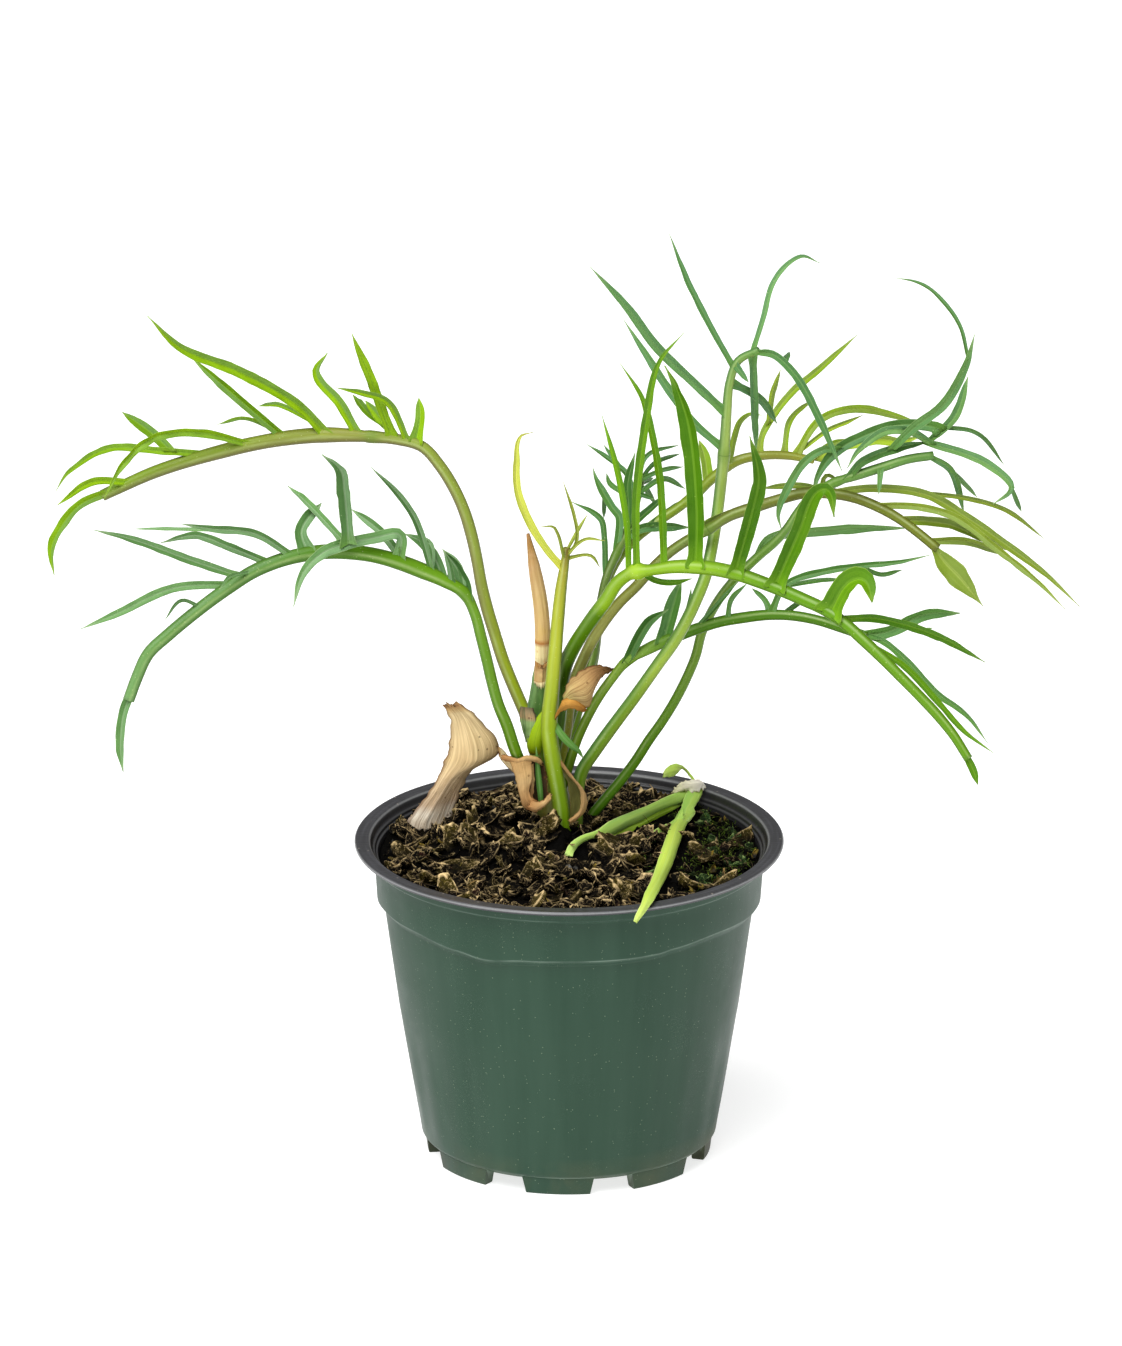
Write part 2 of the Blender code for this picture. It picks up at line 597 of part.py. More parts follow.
def turned(profile, sides):
    """Points and faces of a profile of (radius, height) turned about Z. It starts and ends on the axis."""
    points = [Vector((0, 0, profile[0][1]))]
    for radius, height in profile[1:-1]:
        for side in range(sides):
            turn = 2 * math.pi * side / sides
            points.append(Vector((radius * math.sin(turn), -radius * math.cos(turn), height)))
    points.append(Vector((0, 0, profile[-1][1])))
    faces = []
    rings = len(profile) - 2
    for side in range(sides):
        following = (side + 1) % sides
        faces.append((0, 1 + following, 1 + side))
        last = 1 + (rings - 1) * sides
        faces.append((len(points) - 1, last + side, last + following))
        for ring in range(rings - 1):
            low = 1 + ring * sides
            faces.append((low + side, low + following, low + sides + following, low + sides + side))
    return points, faces


def pot_foot(index):
    """One foot of the ring under the pot: a short stretch of a flat ring, sunk into the floor."""
    middle = FOOT_TURN + index * 2 * math.pi / FOOT_COUNT
    top = FOOT_HEIGHT + FOOT_SUNK
    inner, outer = FOOT_RADII
    points = []
    for step in range(FOOT_STEPS + 1):
        for radius, height in ((inner, 0), (outer - FOOT_SUNK, 0), (outer, top), (inner, top)):
            span = FOOT_SPAN if height else FOOT_SPAN * FOOT_TAPER
            turn = middle + span * (step / FOOT_STEPS - 0.5)
            points.append(Vector((radius * math.sin(turn), -radius * math.cos(turn), height)))
    last = 4 * FOOT_STEPS
    faces = [(0, 1, 2, 3), tuple(range(last + 3, last - 1, -1))]
    for step in range(FOOT_STEPS):
        for corner in range(4):
            following = (corner + 1) % 4
            low = 4 * step
            faces.append((low + corner, low + 4 + corner, low + 4 + following, low + following))
    return points, faces


def drain_slot(index):
    """A slot through the floor, between two feet."""
    turn = FOOT_TURN + (index + 0.5) * 2 * math.pi / FOOT_COUNT
    out = Vector((math.sin(turn), -math.cos(turn), 0))
    along = Vector((math.cos(turn), math.sin(turn), 0))
    wide, long, tall = SLOT_SIZE
    points = []
    for height in (FOOT_HEIGHT - tall / 2, FOOT_HEIGHT + tall / 2):
        for a, b in ((-1, -1), (1, -1), (1, 1), (-1, 1)):
            radius = SLOT_RADIUS + a * wide / 2
            points.append(out * radius + along * (b * long / 2) + Vector((0, 0, height)))
    faces = [(0, 3, 2, 1), (4, 5, 6, 7), (0, 1, 5, 4), (1, 2, 6, 5), (2, 3, 7, 6), (3, 0, 4, 7)]
    return points, faces


def make_pot():
    points, faces = turned(POT_OUTSIDE + POT_INSIDE, POT_SIDES)
    pot = add_solid("pot", points, faces, "pot")
    combine(pot, [pot_foot(index) for index in range(FOOT_COUNT)], "UNION")
    combine(pot, [drain_slot(index) for index in range(FOOT_COUNT)], "DIFFERENCE")
    shade(pot, 30)


def ground(x, y):
    """Height of the soil's surface: a mound round the crown, with lumps of bark."""
    from_crown = (x - SOIL_MOUND_AT[0]) ** 2 + (y - SOIL_MOUND_AT[1]) ** 2
    mound = SOIL_MOUND * math.exp(-from_crown / (2 * SOIL_MOUND_SPREAD ** 2))
    lumps = noise.noise(Vector((x, y, 0)) * FINE_LUMPS) + noise.noise(Vector((x, y, 0)) * COARSE_LUMPS)
    return SOIL_EDGE + mound + SOIL_ROUGH * lumps


def make_soil(cutters):
    """The soil fills the pot, a gap away from its wall, and has a plain hole for each stem."""
    wall = [(radius - GAP, max(height, FLOOR_TOP + GAP)) for radius, height in POT_INSIDE[-2:2:-1]]
    wall.append((SOIL_RADIUS, SOIL_EDGE))
    top = [SOIL_RADIUS * ring / SOIL_RINGS for ring in range(SOIL_RINGS - 1, 0, -1)]
    turns = [2 * math.pi * side / SOIL_SIDES for side in range(SOIL_SIDES)]
    points = [Vector((0, 0, FLOOR_TOP + GAP))]
    for radius, height in wall:
        points += [Vector((radius * math.cos(turn), radius * math.sin(turn), height)) for turn in turns]
    for radius in top:
        for turn in turns:
            x = radius * math.cos(turn)
            y = radius * math.sin(turn)
            points.append(Vector((x, y, ground(x, y))))
    points.append(Vector((0, 0, ground(0, 0))))
    faces = []
    levels = len(wall) + len(top)
    for side in range(SOIL_SIDES):
        following = (side + 1) % SOIL_SIDES
        faces.append((0, 1 + following, 1 + side))
        last = 1 + (levels - 1) * SOIL_SIDES
        faces.append((len(points) - 1, last + side, last + following))
        for level in range(levels - 1):
            low = 1 + level * SOIL_SIDES
            faces.append((low + side, low + following, low + SOIL_SIDES + following))
            faces.append((low + side, low + SOIL_SIDES + following, low + SOIL_SIDES + side))
    soil = add_solid("soil", points, faces, "soil")
    for cutter in cutters:
        combine(soil, [cutter], "DIFFERENCE")
    shade(soil)


def even_stalk(piece, step=STALK_STEP):
    """A stalk's smooth path and its width at each point."""
    path = curve_through([place(*spot) for spot in piece["path"]], step)
    widths = [between(piece["widths"], index / (len(path) - 1)) for index in range(len(path))]
    return path, widths


def root_of(lobe_start, lines):
    """The point nearest to the lobe's start, as seen, on the midlines already made."""
    across, seen = lobe_start
    return min(
        (point for line in lines for point in line),
        key=lambda point: (point.x - across) ** 2 + (seen_height(point) - seen) ** 2,
    )


def lobe_solids(lobes, lines):
    """The blades of one frond. Each starts on the rachis or on the lobe that carries it."""
    made = []
    for index, (width, back, *spots) in enumerate(lobes):
        root = root_of(spots[0], lines)
        places = [root]
        reach = 0
        spans = [math.dist(a, b) for a, b in zip(spots, spots[1:])]
        for spot, span in zip(spots[1:], spans):
            reach += span
            lean = LOBE_SPREAD * back * (reach / sum(spans)) ** LEAN_CURVE
            places.append(place(spot[0], root.y + lean, spot[1]))
        path = curve_through(places, BLADE_STEP, 4)
        last = len(path) - 1
        widths = [lobe_width(step / last, width) for step in range(last + 1)]
        made.append(blade(path, widths, roll=TWIST * math.sin(2.4 * index + 1)))
        lines.append(curve_through(places, 1.5))
    return made


def frond_stalk(frond):
    """The smooth line of petiole and rachis, and the stalk's width at each point."""
    path = curve_through([place(*spot) for spot in frond["petiole"] + frond["rachis"]], STALK_STEP)
    rachis_start = place(*frond["rachis"][0])
    first = min(range(len(path)), key=lambda index: (path[index] - rachis_start).length)
    petiole_width, rachis_width, end_width = frond["widths"]
    widths = []
    for index in range(len(path)):
        if index < first:
            widths.append(petiole_width + (rachis_width - petiole_width) * index / first)
        else:
            share = (index - first) / (len(path) - 1 - first)
            widths.append(rachis_width + (end_width - rachis_width) * share)
    return path, widths


def petiole_seat(frond):
    """The lowest stretch of a frond's petiole, a gap wider all round, to cut its seat."""
    path, widths = frond_stalk(frond)
    foot = path[:SEAT_POINTS]
    foot[0] = foot[0] - (foot[1] - foot[0]).normalized() * GAP
    return tube(foot, widths[:SEAT_POINTS], grow=GAP)


def make_frond(name, frond):
    """Petiole, rachis and lobes of one leaf, grown together in one solid."""
    path, widths = frond_stalk(frond)
    obj = add_solid(name, *tube(path, widths), name)
    lines = [curve_through(path, 1.5)]
    combine(obj, lobe_solids(frond["lobes"], lines), "UNION")
    shade(obj)


def make_stem(cutters):
    """The short thick stem. Each petiole and the left sheath sits in a pocket of its own."""
    path, widths = even_stalk(STEM, 6)
    stem = add_solid("stem", *tube(path, widths, 10), "stem")
    for cutter in cutters:
        combine(stem, [cutter], "DIFFERENCE")
    shade(stem)


def make_spike_sheath():
    path, widths = even_stalk(SPIKE_SHEATH, 6)
    shade(add_solid("spike_sheath", *tube(path, widths, 8), "spike_sheath"))


def make_front_stalk():
    """The youngest leaf: a fat stalk whose blade has only begun to open."""
    path, widths = even_stalk(FRONT_STALK, 8)
    stalk = add_solid("front_stalk", *tube(path, widths, 8), "front_stalk")
    combine(stalk, lobe_solids(FRONT_STALK["blades"], [curve_through(path, 1.5)]), "UNION")
    shade(stalk)


def sheath_solid(path, widths, grow=0.0):
    path, widths = even_stalk({"path": path, "widths": widths}, SHEATH_STEP)
    return blade(path, widths, SHEATH_THICK, grow=grow)


def sheath_seat(name):
    return sheath_solid(SHEATHS[name]["path"], SHEATHS[name]["widths"], GAP)


def make_sheaths():
    for name, sheath in SHEATHS.items():
        obj = add_solid(name, *sheath_solid(sheath["path"], sheath["widths"]), "sheath")
        if "curl" in sheath:
            combine(obj, [sheath_solid(sheath["curl"], sheath["curl_widths"])], "UNION")
        shade(obj)


def fallen_solids(grow=0.0):
    made = []
    for part, width in zip(("long", "short", "scrap", "curl"), FALLEN_LEAF["widths"]):
        path = curve_through([place(*spot) for spot in FALLEN_LEAF[part]], 8)
        last = len(path) - 1
        widths = [lobe_width(step / last, width) for step in range(last + 1)]
        made.append(blade(path, widths, SHEATH_THICK, grow=grow))
    return made


def make_fallen_leaf():
    first, *rest = fallen_solids()
    leaf = add_solid("fallen_leaf", *first, "fallen_leaf")
    combine(leaf, rest, "UNION")
    shade(leaf)


def main():
    clear_scene()
    make_pot()
    for name, frond in FRONDS.items():
        make_frond(name, frond)
    make_front_stalk()
    make_spike_sheath()
    make_sheaths()
    make_fallen_leaf()
    seats = [petiole_seat(frond) for frond in FRONDS.values()]
    make_stem([*seats, sheath_seat("sheath_left")])
    make_soil([
        *seats,
        sheath_seat("sheath_front"),
        sheath_seat("sheath_right"),
        tube(*even_stalk(FRONT_STALK, 8), 8, GAP),
        tube(*even_stalk(STEM, 6), 10, GAP),
        *fallen_solids(GAP),
    ])


main()
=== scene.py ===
import json
import math
import random

import bmesh
import bpy
from mathutils import Matrix, Vector, noise

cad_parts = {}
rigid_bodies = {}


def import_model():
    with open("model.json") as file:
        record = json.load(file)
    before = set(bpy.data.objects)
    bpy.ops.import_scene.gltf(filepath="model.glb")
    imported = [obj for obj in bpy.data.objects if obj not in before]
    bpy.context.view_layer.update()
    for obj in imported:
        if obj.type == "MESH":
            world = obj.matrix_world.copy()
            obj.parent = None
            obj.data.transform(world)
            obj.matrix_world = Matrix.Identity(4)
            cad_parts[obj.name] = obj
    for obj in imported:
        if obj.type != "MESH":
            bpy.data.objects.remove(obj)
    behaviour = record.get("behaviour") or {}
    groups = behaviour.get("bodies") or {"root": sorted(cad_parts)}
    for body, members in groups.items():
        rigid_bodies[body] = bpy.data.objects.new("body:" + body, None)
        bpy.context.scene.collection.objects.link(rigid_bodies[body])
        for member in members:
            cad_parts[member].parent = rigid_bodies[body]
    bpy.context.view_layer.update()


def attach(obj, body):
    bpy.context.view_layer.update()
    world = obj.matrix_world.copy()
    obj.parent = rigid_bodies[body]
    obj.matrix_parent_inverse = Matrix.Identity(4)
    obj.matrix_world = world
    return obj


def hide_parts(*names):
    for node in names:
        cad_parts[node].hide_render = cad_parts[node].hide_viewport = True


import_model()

mm = 0.001  # every shape is worked out in millimetres and scaled once, when its mesh is made
viewDown = math.radians(19.8)  # how far the photograph looks down at the plant
toViewer = Vector((0, -math.cos(viewDown), math.sin(viewDown)))

# Places on the plant are (across, depth, seen height). The seen height is read along the line of sight,
# so a stem keeps its outline for the camera when its depth changes. They are the CAD model's own places.
stemShape = {
    "path": [
        (-5, 11, 112), (-5, 11, 136), (-8.5, 10, 153), (-12.5, 10, 167), (-12.6, 9, 178), (-11, 8, 190),
        (-10.2, 7.5, 195),
    ],
    "widths": [17, 16, 13.5, 10, 7, 6.3, 6.2],
    "ringStep": 11, "ringPlace": 5, "ringReach": 1.4, "ringRise": 0.05,  # its leaf scars
}
spikeSheath = {
    "path": [
        (-10.2, 7.5, 195.8), (-10, 7, 205.3), (-10.7, 6.5, 219.6), (-13, 6, 234.6), (-15.7, 5.5, 249.7),
    ],
    "widths": [5.8, 5.9, 5.6, 4.6, 1.3], "ringPlace": 0.19, "ringReach": 0.012, "ringRise": 0.07,
}
frontStalk = {
    "path": [
        (-2.6, -2, 122), (-2.8, -2.5, 136.6), (-5.4, -3.5, 153.6), (-7.6, -5, 170), (-6.5, -7, 186.6),
        (-5.2, -6.5, 202.9), (-3.8, -3, 219.6), (-2.4, 0, 232.6), (-1.1, 0, 240.3), (-0.8, 0, 244),
    ],
    "widths": [6.6, 6.6, 6.5, 6.3, 6.1, 5.7, 5.2, 4.8, 4.4, 2.6],
    "blades": [
        (3.2, 12, (-3, 236), (-8, 242.3), (-13, 250), (-17, 258), (-20, 268), (-20.3, 279), (-19, 289),
         (-13.8, 291)),
        (1.4, -4, (-1, 240), (3, 247), (2, 257), (-2.3, 271)),
        (1.3, -6, (-2, 238), (-5.4, 252), (-11, 252.5)),
        (1.4, -5, (-1, 241), (6, 247.5), (13.8, 246.8)),
        (1.5, 3, (-1, 242), (4, 252), (7, 257.4)),
        (1.3, 2, (-1, 239), (8, 241), (11.9, 236)),
        (4.6, 5, (-4.6, 178), (-1.5, 183), (4, 187), (9, 191.5), (16.6, 195)),
    ],
}

# Each lobe is (width, how far its tip leans behind its root, places on its midline as (across, seen)).
# plantShape's spread scales every lean.
fronds = {
    "frond_left_upper": {
        "petiole": [(-12.5, 11, 160), (-14.5, 13, 171), (-19.2, 15, 182.5), (-25.3, 17, 198.4),
                    (-30, 19, 214.7), (-32.6, 20, 224), (-36.8, 23, 247), (-42, 26, 264), (-50.5, 29, 279),
                    (-57.4, 31, 285.9)],
        "rachis": [(-73, 34, 289), (-95, 38, 290), (-116, 41, 287.5), (-138, 44, 282), (-159, 46, 275),
                   (-179, 46, 265.5)],
        "widths": (5.0, 4.3, 3.0), "lobes": [
            (3.8, -6, (-176, 267), (-187, 262), (-194, 254), (-198.5, 244), (-197.5, 233)),
            (4.5, -10, (-93, 292), (-105, 303), (-127, 316), (-148, 325), (-161, 338)),
            (3.6, 12, (-109, 291), (-122.5, 301), (-135.5, 313), (-145, 322)),
            (2.2, 16, (-98, 294), (-110.6, 302), (-119.5, 302)),
            (1.6, 10, (-114, 291), (-124, 297), (-135, 294.5)),
            (4.0, 6, (-80, 293), (-88, 303), (-97, 315), (-92.5, 323.5)),
            (3.9, -7, (-67.5, 292), (-76, 313), (-81, 325.5), (-83, 331)),
            (2.4, 9, (-71, 292), (-78, 304)),
            (2.4, 14, (-65, 291), (-74, 304)),
            (1.5, -8, (-61, 291), (-69, 303), (-79, 307), (-89, 309)),
            (3.0, 5, (-58, 290), (-57, 297), (-57.5, 305)),
            (3.0, 18, (-70, 293), (-77, 299), (-83, 306.5)),
            (3.4, -12, (-122, 289), (-141, 291), (-159, 289), (-171, 278), (-178, 264)),
            (3.0, 8, (-138, 284), (-157, 283.5), (-176.5, 284.5), (-192, 275), (-197, 267.5)),
            (4.2, 12, (-152, 281), (-159, 290), (-171.5, 299.5)),
            (3.2, -10, (-170, 273), (-183, 271), (-196, 261.5)),
        ],
    },
    "frond_left_lower": {
        "petiole": [(-9.5, 7, 143), (-15, 1, 150.5), (-20, -4, 159), (-22, -6, 167), (-27.6, -9, 182),
                    (-31.4, -11, 198.4), (-35.2, -13, 214), (-38, -14, 223)],
        "rachis": [(-43.3, -15, 228), (-57, -18, 235), (-75, -22, 241), (-96, -27, 242), (-117, -32, 236),
                   (-134, -37, 224.5), (-149, -42, 212), (-162, -46, 199), (-164.5, -47, 192),
                   (-168, -49, 182)],
        "widths": (4.7, 4.2, 3.0), "lobes": [
            (3.8, -4, (-167, 187), (-170, 176), (-171, 163), (-170, 153)),
            (2.8, -8, (-50.5, 237), (-58, 254), (-65, 265.5), (-75.5, 276.5)),
            (4.2, -14, (-65, 240), (-64.5, 249), (-72, 248.5), (-92, 243), (-101.5, 233.5), (-105, 220)),
            (2.4, 6, (-51, 235), (-53, 245), (-61, 249.5)),
            (2.4, -5, (-45, 229), (-45.5, 236), (-47.5, 242.5)),
            (2.4, 5, (-38, 227), (-42, 236.5), (-48.5, 243.5)),
            (3.4, 8, (-67, 242), (-72.5, 251), (-83, 259.5)),
            (4.5, -9, (-83.5, 245), (-85.5, 267), (-87, 275.5), (-94, 281.5)),
            (3.0, 14, (-86, 247), (-99, 261), (-107.5, 269)),
            (4.8, 9, (-100, 242), (-102, 251), (-94.5, 262)),
            (3.1, -8, (-105, 242), (-119.5, 249.5), (-136, 251.5), (-148, 253.5)),
            (1.5, 9, (-125, 249), (-153, 251.5), (-167, 251.5)),
            (3.4, 12, (-114, 238), (-130, 244.5), (-142.5, 249), (-156, 246)),
            (3.4, -7, (-125, 233), (-145, 239), (-164.5, 246.5), (-181, 251)),
            (3.5, 9, (-129, 230), (-151, 227.5), (-172, 217.5), (-186.5, 211)),
            (1.4, -7, (-141, 220), (-148, 222.5), (-154, 214.5)),
            (1.7, -9, (-121, 236), (-129, 232), (-133, 227)),
        ],
    },
    "frond_right_front": {
        "petiole": [(-9.5, 8, 151), (-5.8, 5, 163.8), (-3.4, 3.5, 182), (-2.6, 1, 192.3), (1.2, -4, 202.5),
                    (7.7, -12, 213.5), (14.2, -18, 222.8), (21, -24, 232.6)],
        "rachis": [(28.3, -30, 234.3), (42.5, -40, 236.3), (59, -51, 234.6), (72.7, -60, 230),
                   (86.5, -69, 224), (100.3, -78, 216.7), (113.7, -86, 204.5), (126, -93, 191.5),
                   (137.4, -99, 179), (145, -103, 169.5), (151.6, -106, 158.5)],
        "widths": (5.4, 4.3, 2.6), "lobes": [
            (3.2, -1, (150.5, 161), (153.5, 154), (155.3, 148)),
            (2.6, 10, (22, 234), (22.2, 252), (18.5, 275), (12.6, 297.5)),
            (2.5, -12, (26, 235), (25.7, 264), (29.9, 299), (34, 318), (43.6, 330.5)),
            (2.7, 14, (36, 236), (34.8, 267.5), (31.8, 288), (27.6, 304.5), (19.5, 318.5)),
            (6.2, 8, (48, 237), (48.6, 260), (45.9, 291.5), (40.6, 309.5), (36.4, 317.5)),
            (5.9, -14, (64, 236), (70, 260), (72, 272), (68.5, 288.5)),
            (5.8, -4, (79.5, 230), (87.3, 250), (93, 265), (98.5, 267), (100.7, 256)),
            (6.2, -7, (99.5, 218), (105.5, 229), (112, 230.5), (115, 221.5)),
            (3.4, 14, (105, 217), (118, 215), (140.5, 208), (158.5, 197.5)),
            (2.5, -9, (113.7, 206), (127, 196), (142, 179), (150, 169.5), (161.6, 160.5)),
        ],
    },
    "frond_right_low": {
        "petiole": [(-2.5, 7, 147), (1.2, 6, 159.8), (3.9, 5, 168.3), (8.4, 4, 177.7), (12.6, 3, 185.4),
                    (17.2, 2, 191.9)],
        "rachis": [(20.8, 0, 196.8), (27.2, -1, 201.3), (35.2, -2, 205.3), (45.6, -3, 209.8),
                   (56, -5, 213.5), (66, -8, 215.5), (76.2, -12, 216.7), (86.5, -15, 216.3),
                   (93.4, -17, 215), (103, -20, 211.8), (113.7, -24, 208)],
        "widths": (4.0, 3.5, 2.8), "lobes": [
            (2.8, -10, (110, 209.5), (120, 206), (130, 197), (140, 185.5), (152, 176), (160, 164.5)),
            (3.0, -5, (21.5, 198), (30, 213), (38, 219)),
            (4.4, 6, (36, 206), (41, 224.5), (43, 230.5)),
            (1.8, 4, (42.5, 209), (45.6, 220), (46.7, 227.5)),
            (2.0, -3, (48, 211), (57, 221), (64.7, 230.5)),
            (2.0, -6, (60, 215), (62, 223), (68, 229.5)),
            (2.2, 7, (77.5, 217), (75, 222.5), (70, 227.5)),
            (2.8, -8, (77.5, 217), (83, 229), (96.5, 234), (112, 236.5), (126, 238), (138, 241)),
            (1.9, 8, (84, 227), (96.5, 231), (106, 231)),
            (1.9, 7, (112, 236), (119, 233), (127.5, 235)),
            (2.2, 7, (81, 218), (90.5, 223.5)),
            (4.8, 8, (112, 208), (122, 210), (136, 217), (149.5, 217.5)),
            (1.8, -6, (128, 212), (133, 210.2), (139, 211.4)),
        ],
    },
    "frond_tall": {
        "petiole": [(2.6, 4, 124), (3.0, 3.5, 140), (4.2, 2.5, 151.2), (10, -1, 161.4), (17.2, -4, 172),
                    (26, -8, 184.6), (33.3, -11, 195.6), (40.6, -13, 206.5), (45.9, -14, 216.7),
                    (51.7, -9, 231), (53.8, -4, 240), (55.5, 2, 249.3), (57, 8, 260.3), (58.2, 9, 271.6)],
        "rachis": [(59.3, 8, 283), (60.5, 6, 303), (61.6, 5, 312.3), (64, 4, 319), (68, 3, 322.3),
                   (72.4, 1, 324)],
        "widths": (5.0, 4.4, 2.8), "lobes": [
            (3.3, -16, (71, 323.5), (78, 322.3), (84, 317), (89, 310), (94, 300), (98, 291), (104, 275)),
            (3.8, -12, (59.7, 299), (48, 310.5), (33.3, 325.5), (22, 341.5), (8, 357.5)),
            (3.3, 12, (58.6, 283.5), (47.5, 295), (38, 308.5), (29.5, 322.5), (21, 336.5)),
            (2.6, 6, (62, 316.4), (54, 333.5), (45.2, 352), (38.3, 371)),
            (2.2, 14, (70, 324), (74, 336.5), (78.5, 352.5), (88, 362), (96, 359.5)),
            (3.3, 9, (62.5, 311), (73, 304.5), (79.6, 294.5)),
            (2.4, -4, (65, 318), (68.5, 311)),
            (3.3, 13, (70, 322), (70.5, 307), (70.8, 295), (71.6, 283.5)),
            (1.8, 5, (81, 319), (84.2, 323.3)),
        ],
    },
    "frond_olive": {
        "petiole": [(-4.5, 11.5, 152), (-3.2, 12.5, 158), (-1.1, 13, 170), (1.1, 12, 186.2),
                    (5.7, 10, 199.2), (10, 8, 208.2), (17.2, 5, 219.2), (26.8, 2, 229.5), (34, 0, 238),
                    (43, -3, 245.6)],
        "rachis": [(53.6, -6, 251.7), (59.7, -7, 256), (66.2, -7, 259), (75, -7.5, 261.5), (83, -8, 264.5),
                   (92.3, -8.5, 266.3), (106.8, -11, 264.8), (121.7, -17, 258.4), (134, -23, 249.3),
                   (140.5, -26, 243.5)],
        "widths": (4.7, 3.9, 3.0), "lobes": [
            (7.6, -8, (138, 246), (143.5, 238), (149, 232), (158, 220)),
            (2.6, 5, (99, 266), (90, 269), (81, 269), (73.5, 268)),
            (3.5, -9, (100, 266), (116, 268), (136, 265.5), (152, 256), (167.5, 244.5), (182, 233),
             (195, 220)),
            (3.8, -18, (116, 261), (134, 260.5), (148, 256), (164, 243), (179, 230), (189, 219)),
            (3.8, 8, (127, 255), (144, 253.5), (155, 249), (167, 243)),
            (3.0, 12, (137, 247), (152, 246.5), (167, 241)),
            (2.0, 10, (134, 265.8), (152, 264), (167.5, 259), (182, 247.5)),
            (1.7, 4, (96, 266), (98, 273), (103, 271)),
        ],
    },
    "frond_far_right": {
        "petiole": [(6.5, 18, 124), (7.3, 18, 131.7), (14.9, 17, 143), (23, 16.5, 153.3), (30.2, 16, 165),
                    (37.9, 15.5, 176.8), (43.6, 15, 187.8), (48.2, 15, 198.8), (51.4, 14, 211),
                    (59.3, 6, 226), (70.1, -3, 238.3), (81.2, -13, 249), (86.5, -17, 257),
                    (91.5, -20, 263.9), (98, -21, 268.8)],
        "rachis": [(106, -20, 272), (113.7, -18, 274.5), (121.7, -16, 277.3), (129.4, -14, 279.8),
                   (139, -12, 281.3)],
        "widths": (4.0, 3.4, 2.8), "lobes": [
            (3.6, 6, (106, 273), (112, 279), (125, 284.5), (137.5, 287)),
            (3.8, -8, (124, 284), (131, 292), (143, 302), (151, 317), (154.3, 330)),
            (3.4, 12, (137, 286), (147.5, 297.5), (152.5, 313.5)),
            (1.7, 9, (151.5, 320), (148.5, 334), (140, 346), (133, 351), (124.5, 353)),
            (3.5, -10, (136, 286), (155.5, 280), (166.5, 272), (168.5, 267.5), (161.6, 261.5)),
            (2.8, 6, (138, 282), (146, 275), (151, 258)),
            (3.5, -5, (144, 289.5), (139, 293), (125, 293.5), (108, 287), (100, 281), (95, 273),
             (93, 264.5)),
            (3.3, -9, (139, 285), (130, 291.2), (120, 291), (110, 283), (106, 276)),
            (3.4, -4, (103, 283), (97, 283.5), (90, 278.5), (84, 268.5), (80, 258), (81, 251.5)),
            (1.5, 10, (139, 293), (155.5, 290.5), (166.5, 277.5)),
            (2.0, -6, (118, 277), (118, 265.5)),
            (1.9, 4, (168, 269), (172.7, 258.6)),
            (2.0, 8, (147, 276), (156, 264.5)),
            (3.8, 6, (71, 240), (77, 248), (94, 250.5), (113, 252), (130, 252)),
        ],
    },
    "frond_back_right": {
        "petiole": [(-5, 19, 126), (-4, 20, 139), (-1, 25, 155), (2.5, 30, 174), (9, 36, 196),
                    (11.5, 40, 214.7), (15, 47, 232), (21, 52, 243), (30, 56, 252), (40, 58, 259)],
        "rachis": [(50, 58, 267.6), (59, 57, 276), (66.6, 57, 280.6), (74, 58, 281.8), (81.2, 60, 282.2),
                   (88.4, 62, 281), (94, 63, 280)],
        "widths": (3.8, 3.8, 2.4), "lobes": [
            (5.0, 6, (54, 271), (52, 281.5), (50, 288)),
            (3.2, 24, (86.5, 282), (96, 296), (110, 301), (126.5, 298), (136, 294.5)),
            (2.9, 27, (73, 282), (75, 292), (85, 307), (96, 317), (111, 331.5)),
            (2.4, -10, (76, 295), (78, 307), (81, 316.5)),
            (2.4, 15, (82, 283), (85, 296), (94, 305)),
            (2.4, -12, (61, 278), (64.7, 294), (69, 298.5), (74, 298)),
            (1.9, 12, (88, 283), (99, 292), (107.6, 296), (113, 298.5)),
            (2.2, -10, (92, 281), (100, 286), (107.5, 288.5)),
        ],
    },
    "frond_back_left": {
        "petiole": [(-7.5, 15, 151), (-2.7, 19, 158.5), (0.4, 23, 174), (8.6, 28, 196.4), (10, 30, 204),
                    (11.1, 33, 214.7), (12.8, 36, 225), (15.3, 40, 235)],
        "rachis": [(18.8, 46, 242.8), (23.4, 56, 253.3), (26, 67, 263.5), (28, 79, 272.5)],
        "widths": (3.7, 3.3, 2.2), "lobes": [
            (2.5, 14, (13.5, 230), (13, 253.5), (10, 258), (1, 263)),
            (2.8, 20, (17, 240), (19.5, 256), (16.5, 261), (10.7, 272), (9.2, 277)),
            (1.8, 5, (13.8, 267), (13.4, 256.5)),
            (1.9, 10, (25.5, 261), (22.6, 273.5), (16.5, 279.5), (7, 286.5)),
            (1.8, 12, (22, 273), (13.4, 286.5)),
            (1.8, 11, (26, 268), (29.5, 281.5), (42.5, 286.5)),
            (1.8, 15, (27.8, 272), (33, 279), (43, 283)),
            (1.9, 10, (27.8, 272), (36, 276), (44, 277.5)),
            (1.8, 8, (27.5, 270), (32.5, 273)),
            (1.9, -6, (26.5, 267), (32.5, 264)),
            (2.2, 10, (26.5, 266), (36, 272.5), (44.8, 268.5)),
        ],
    },
}

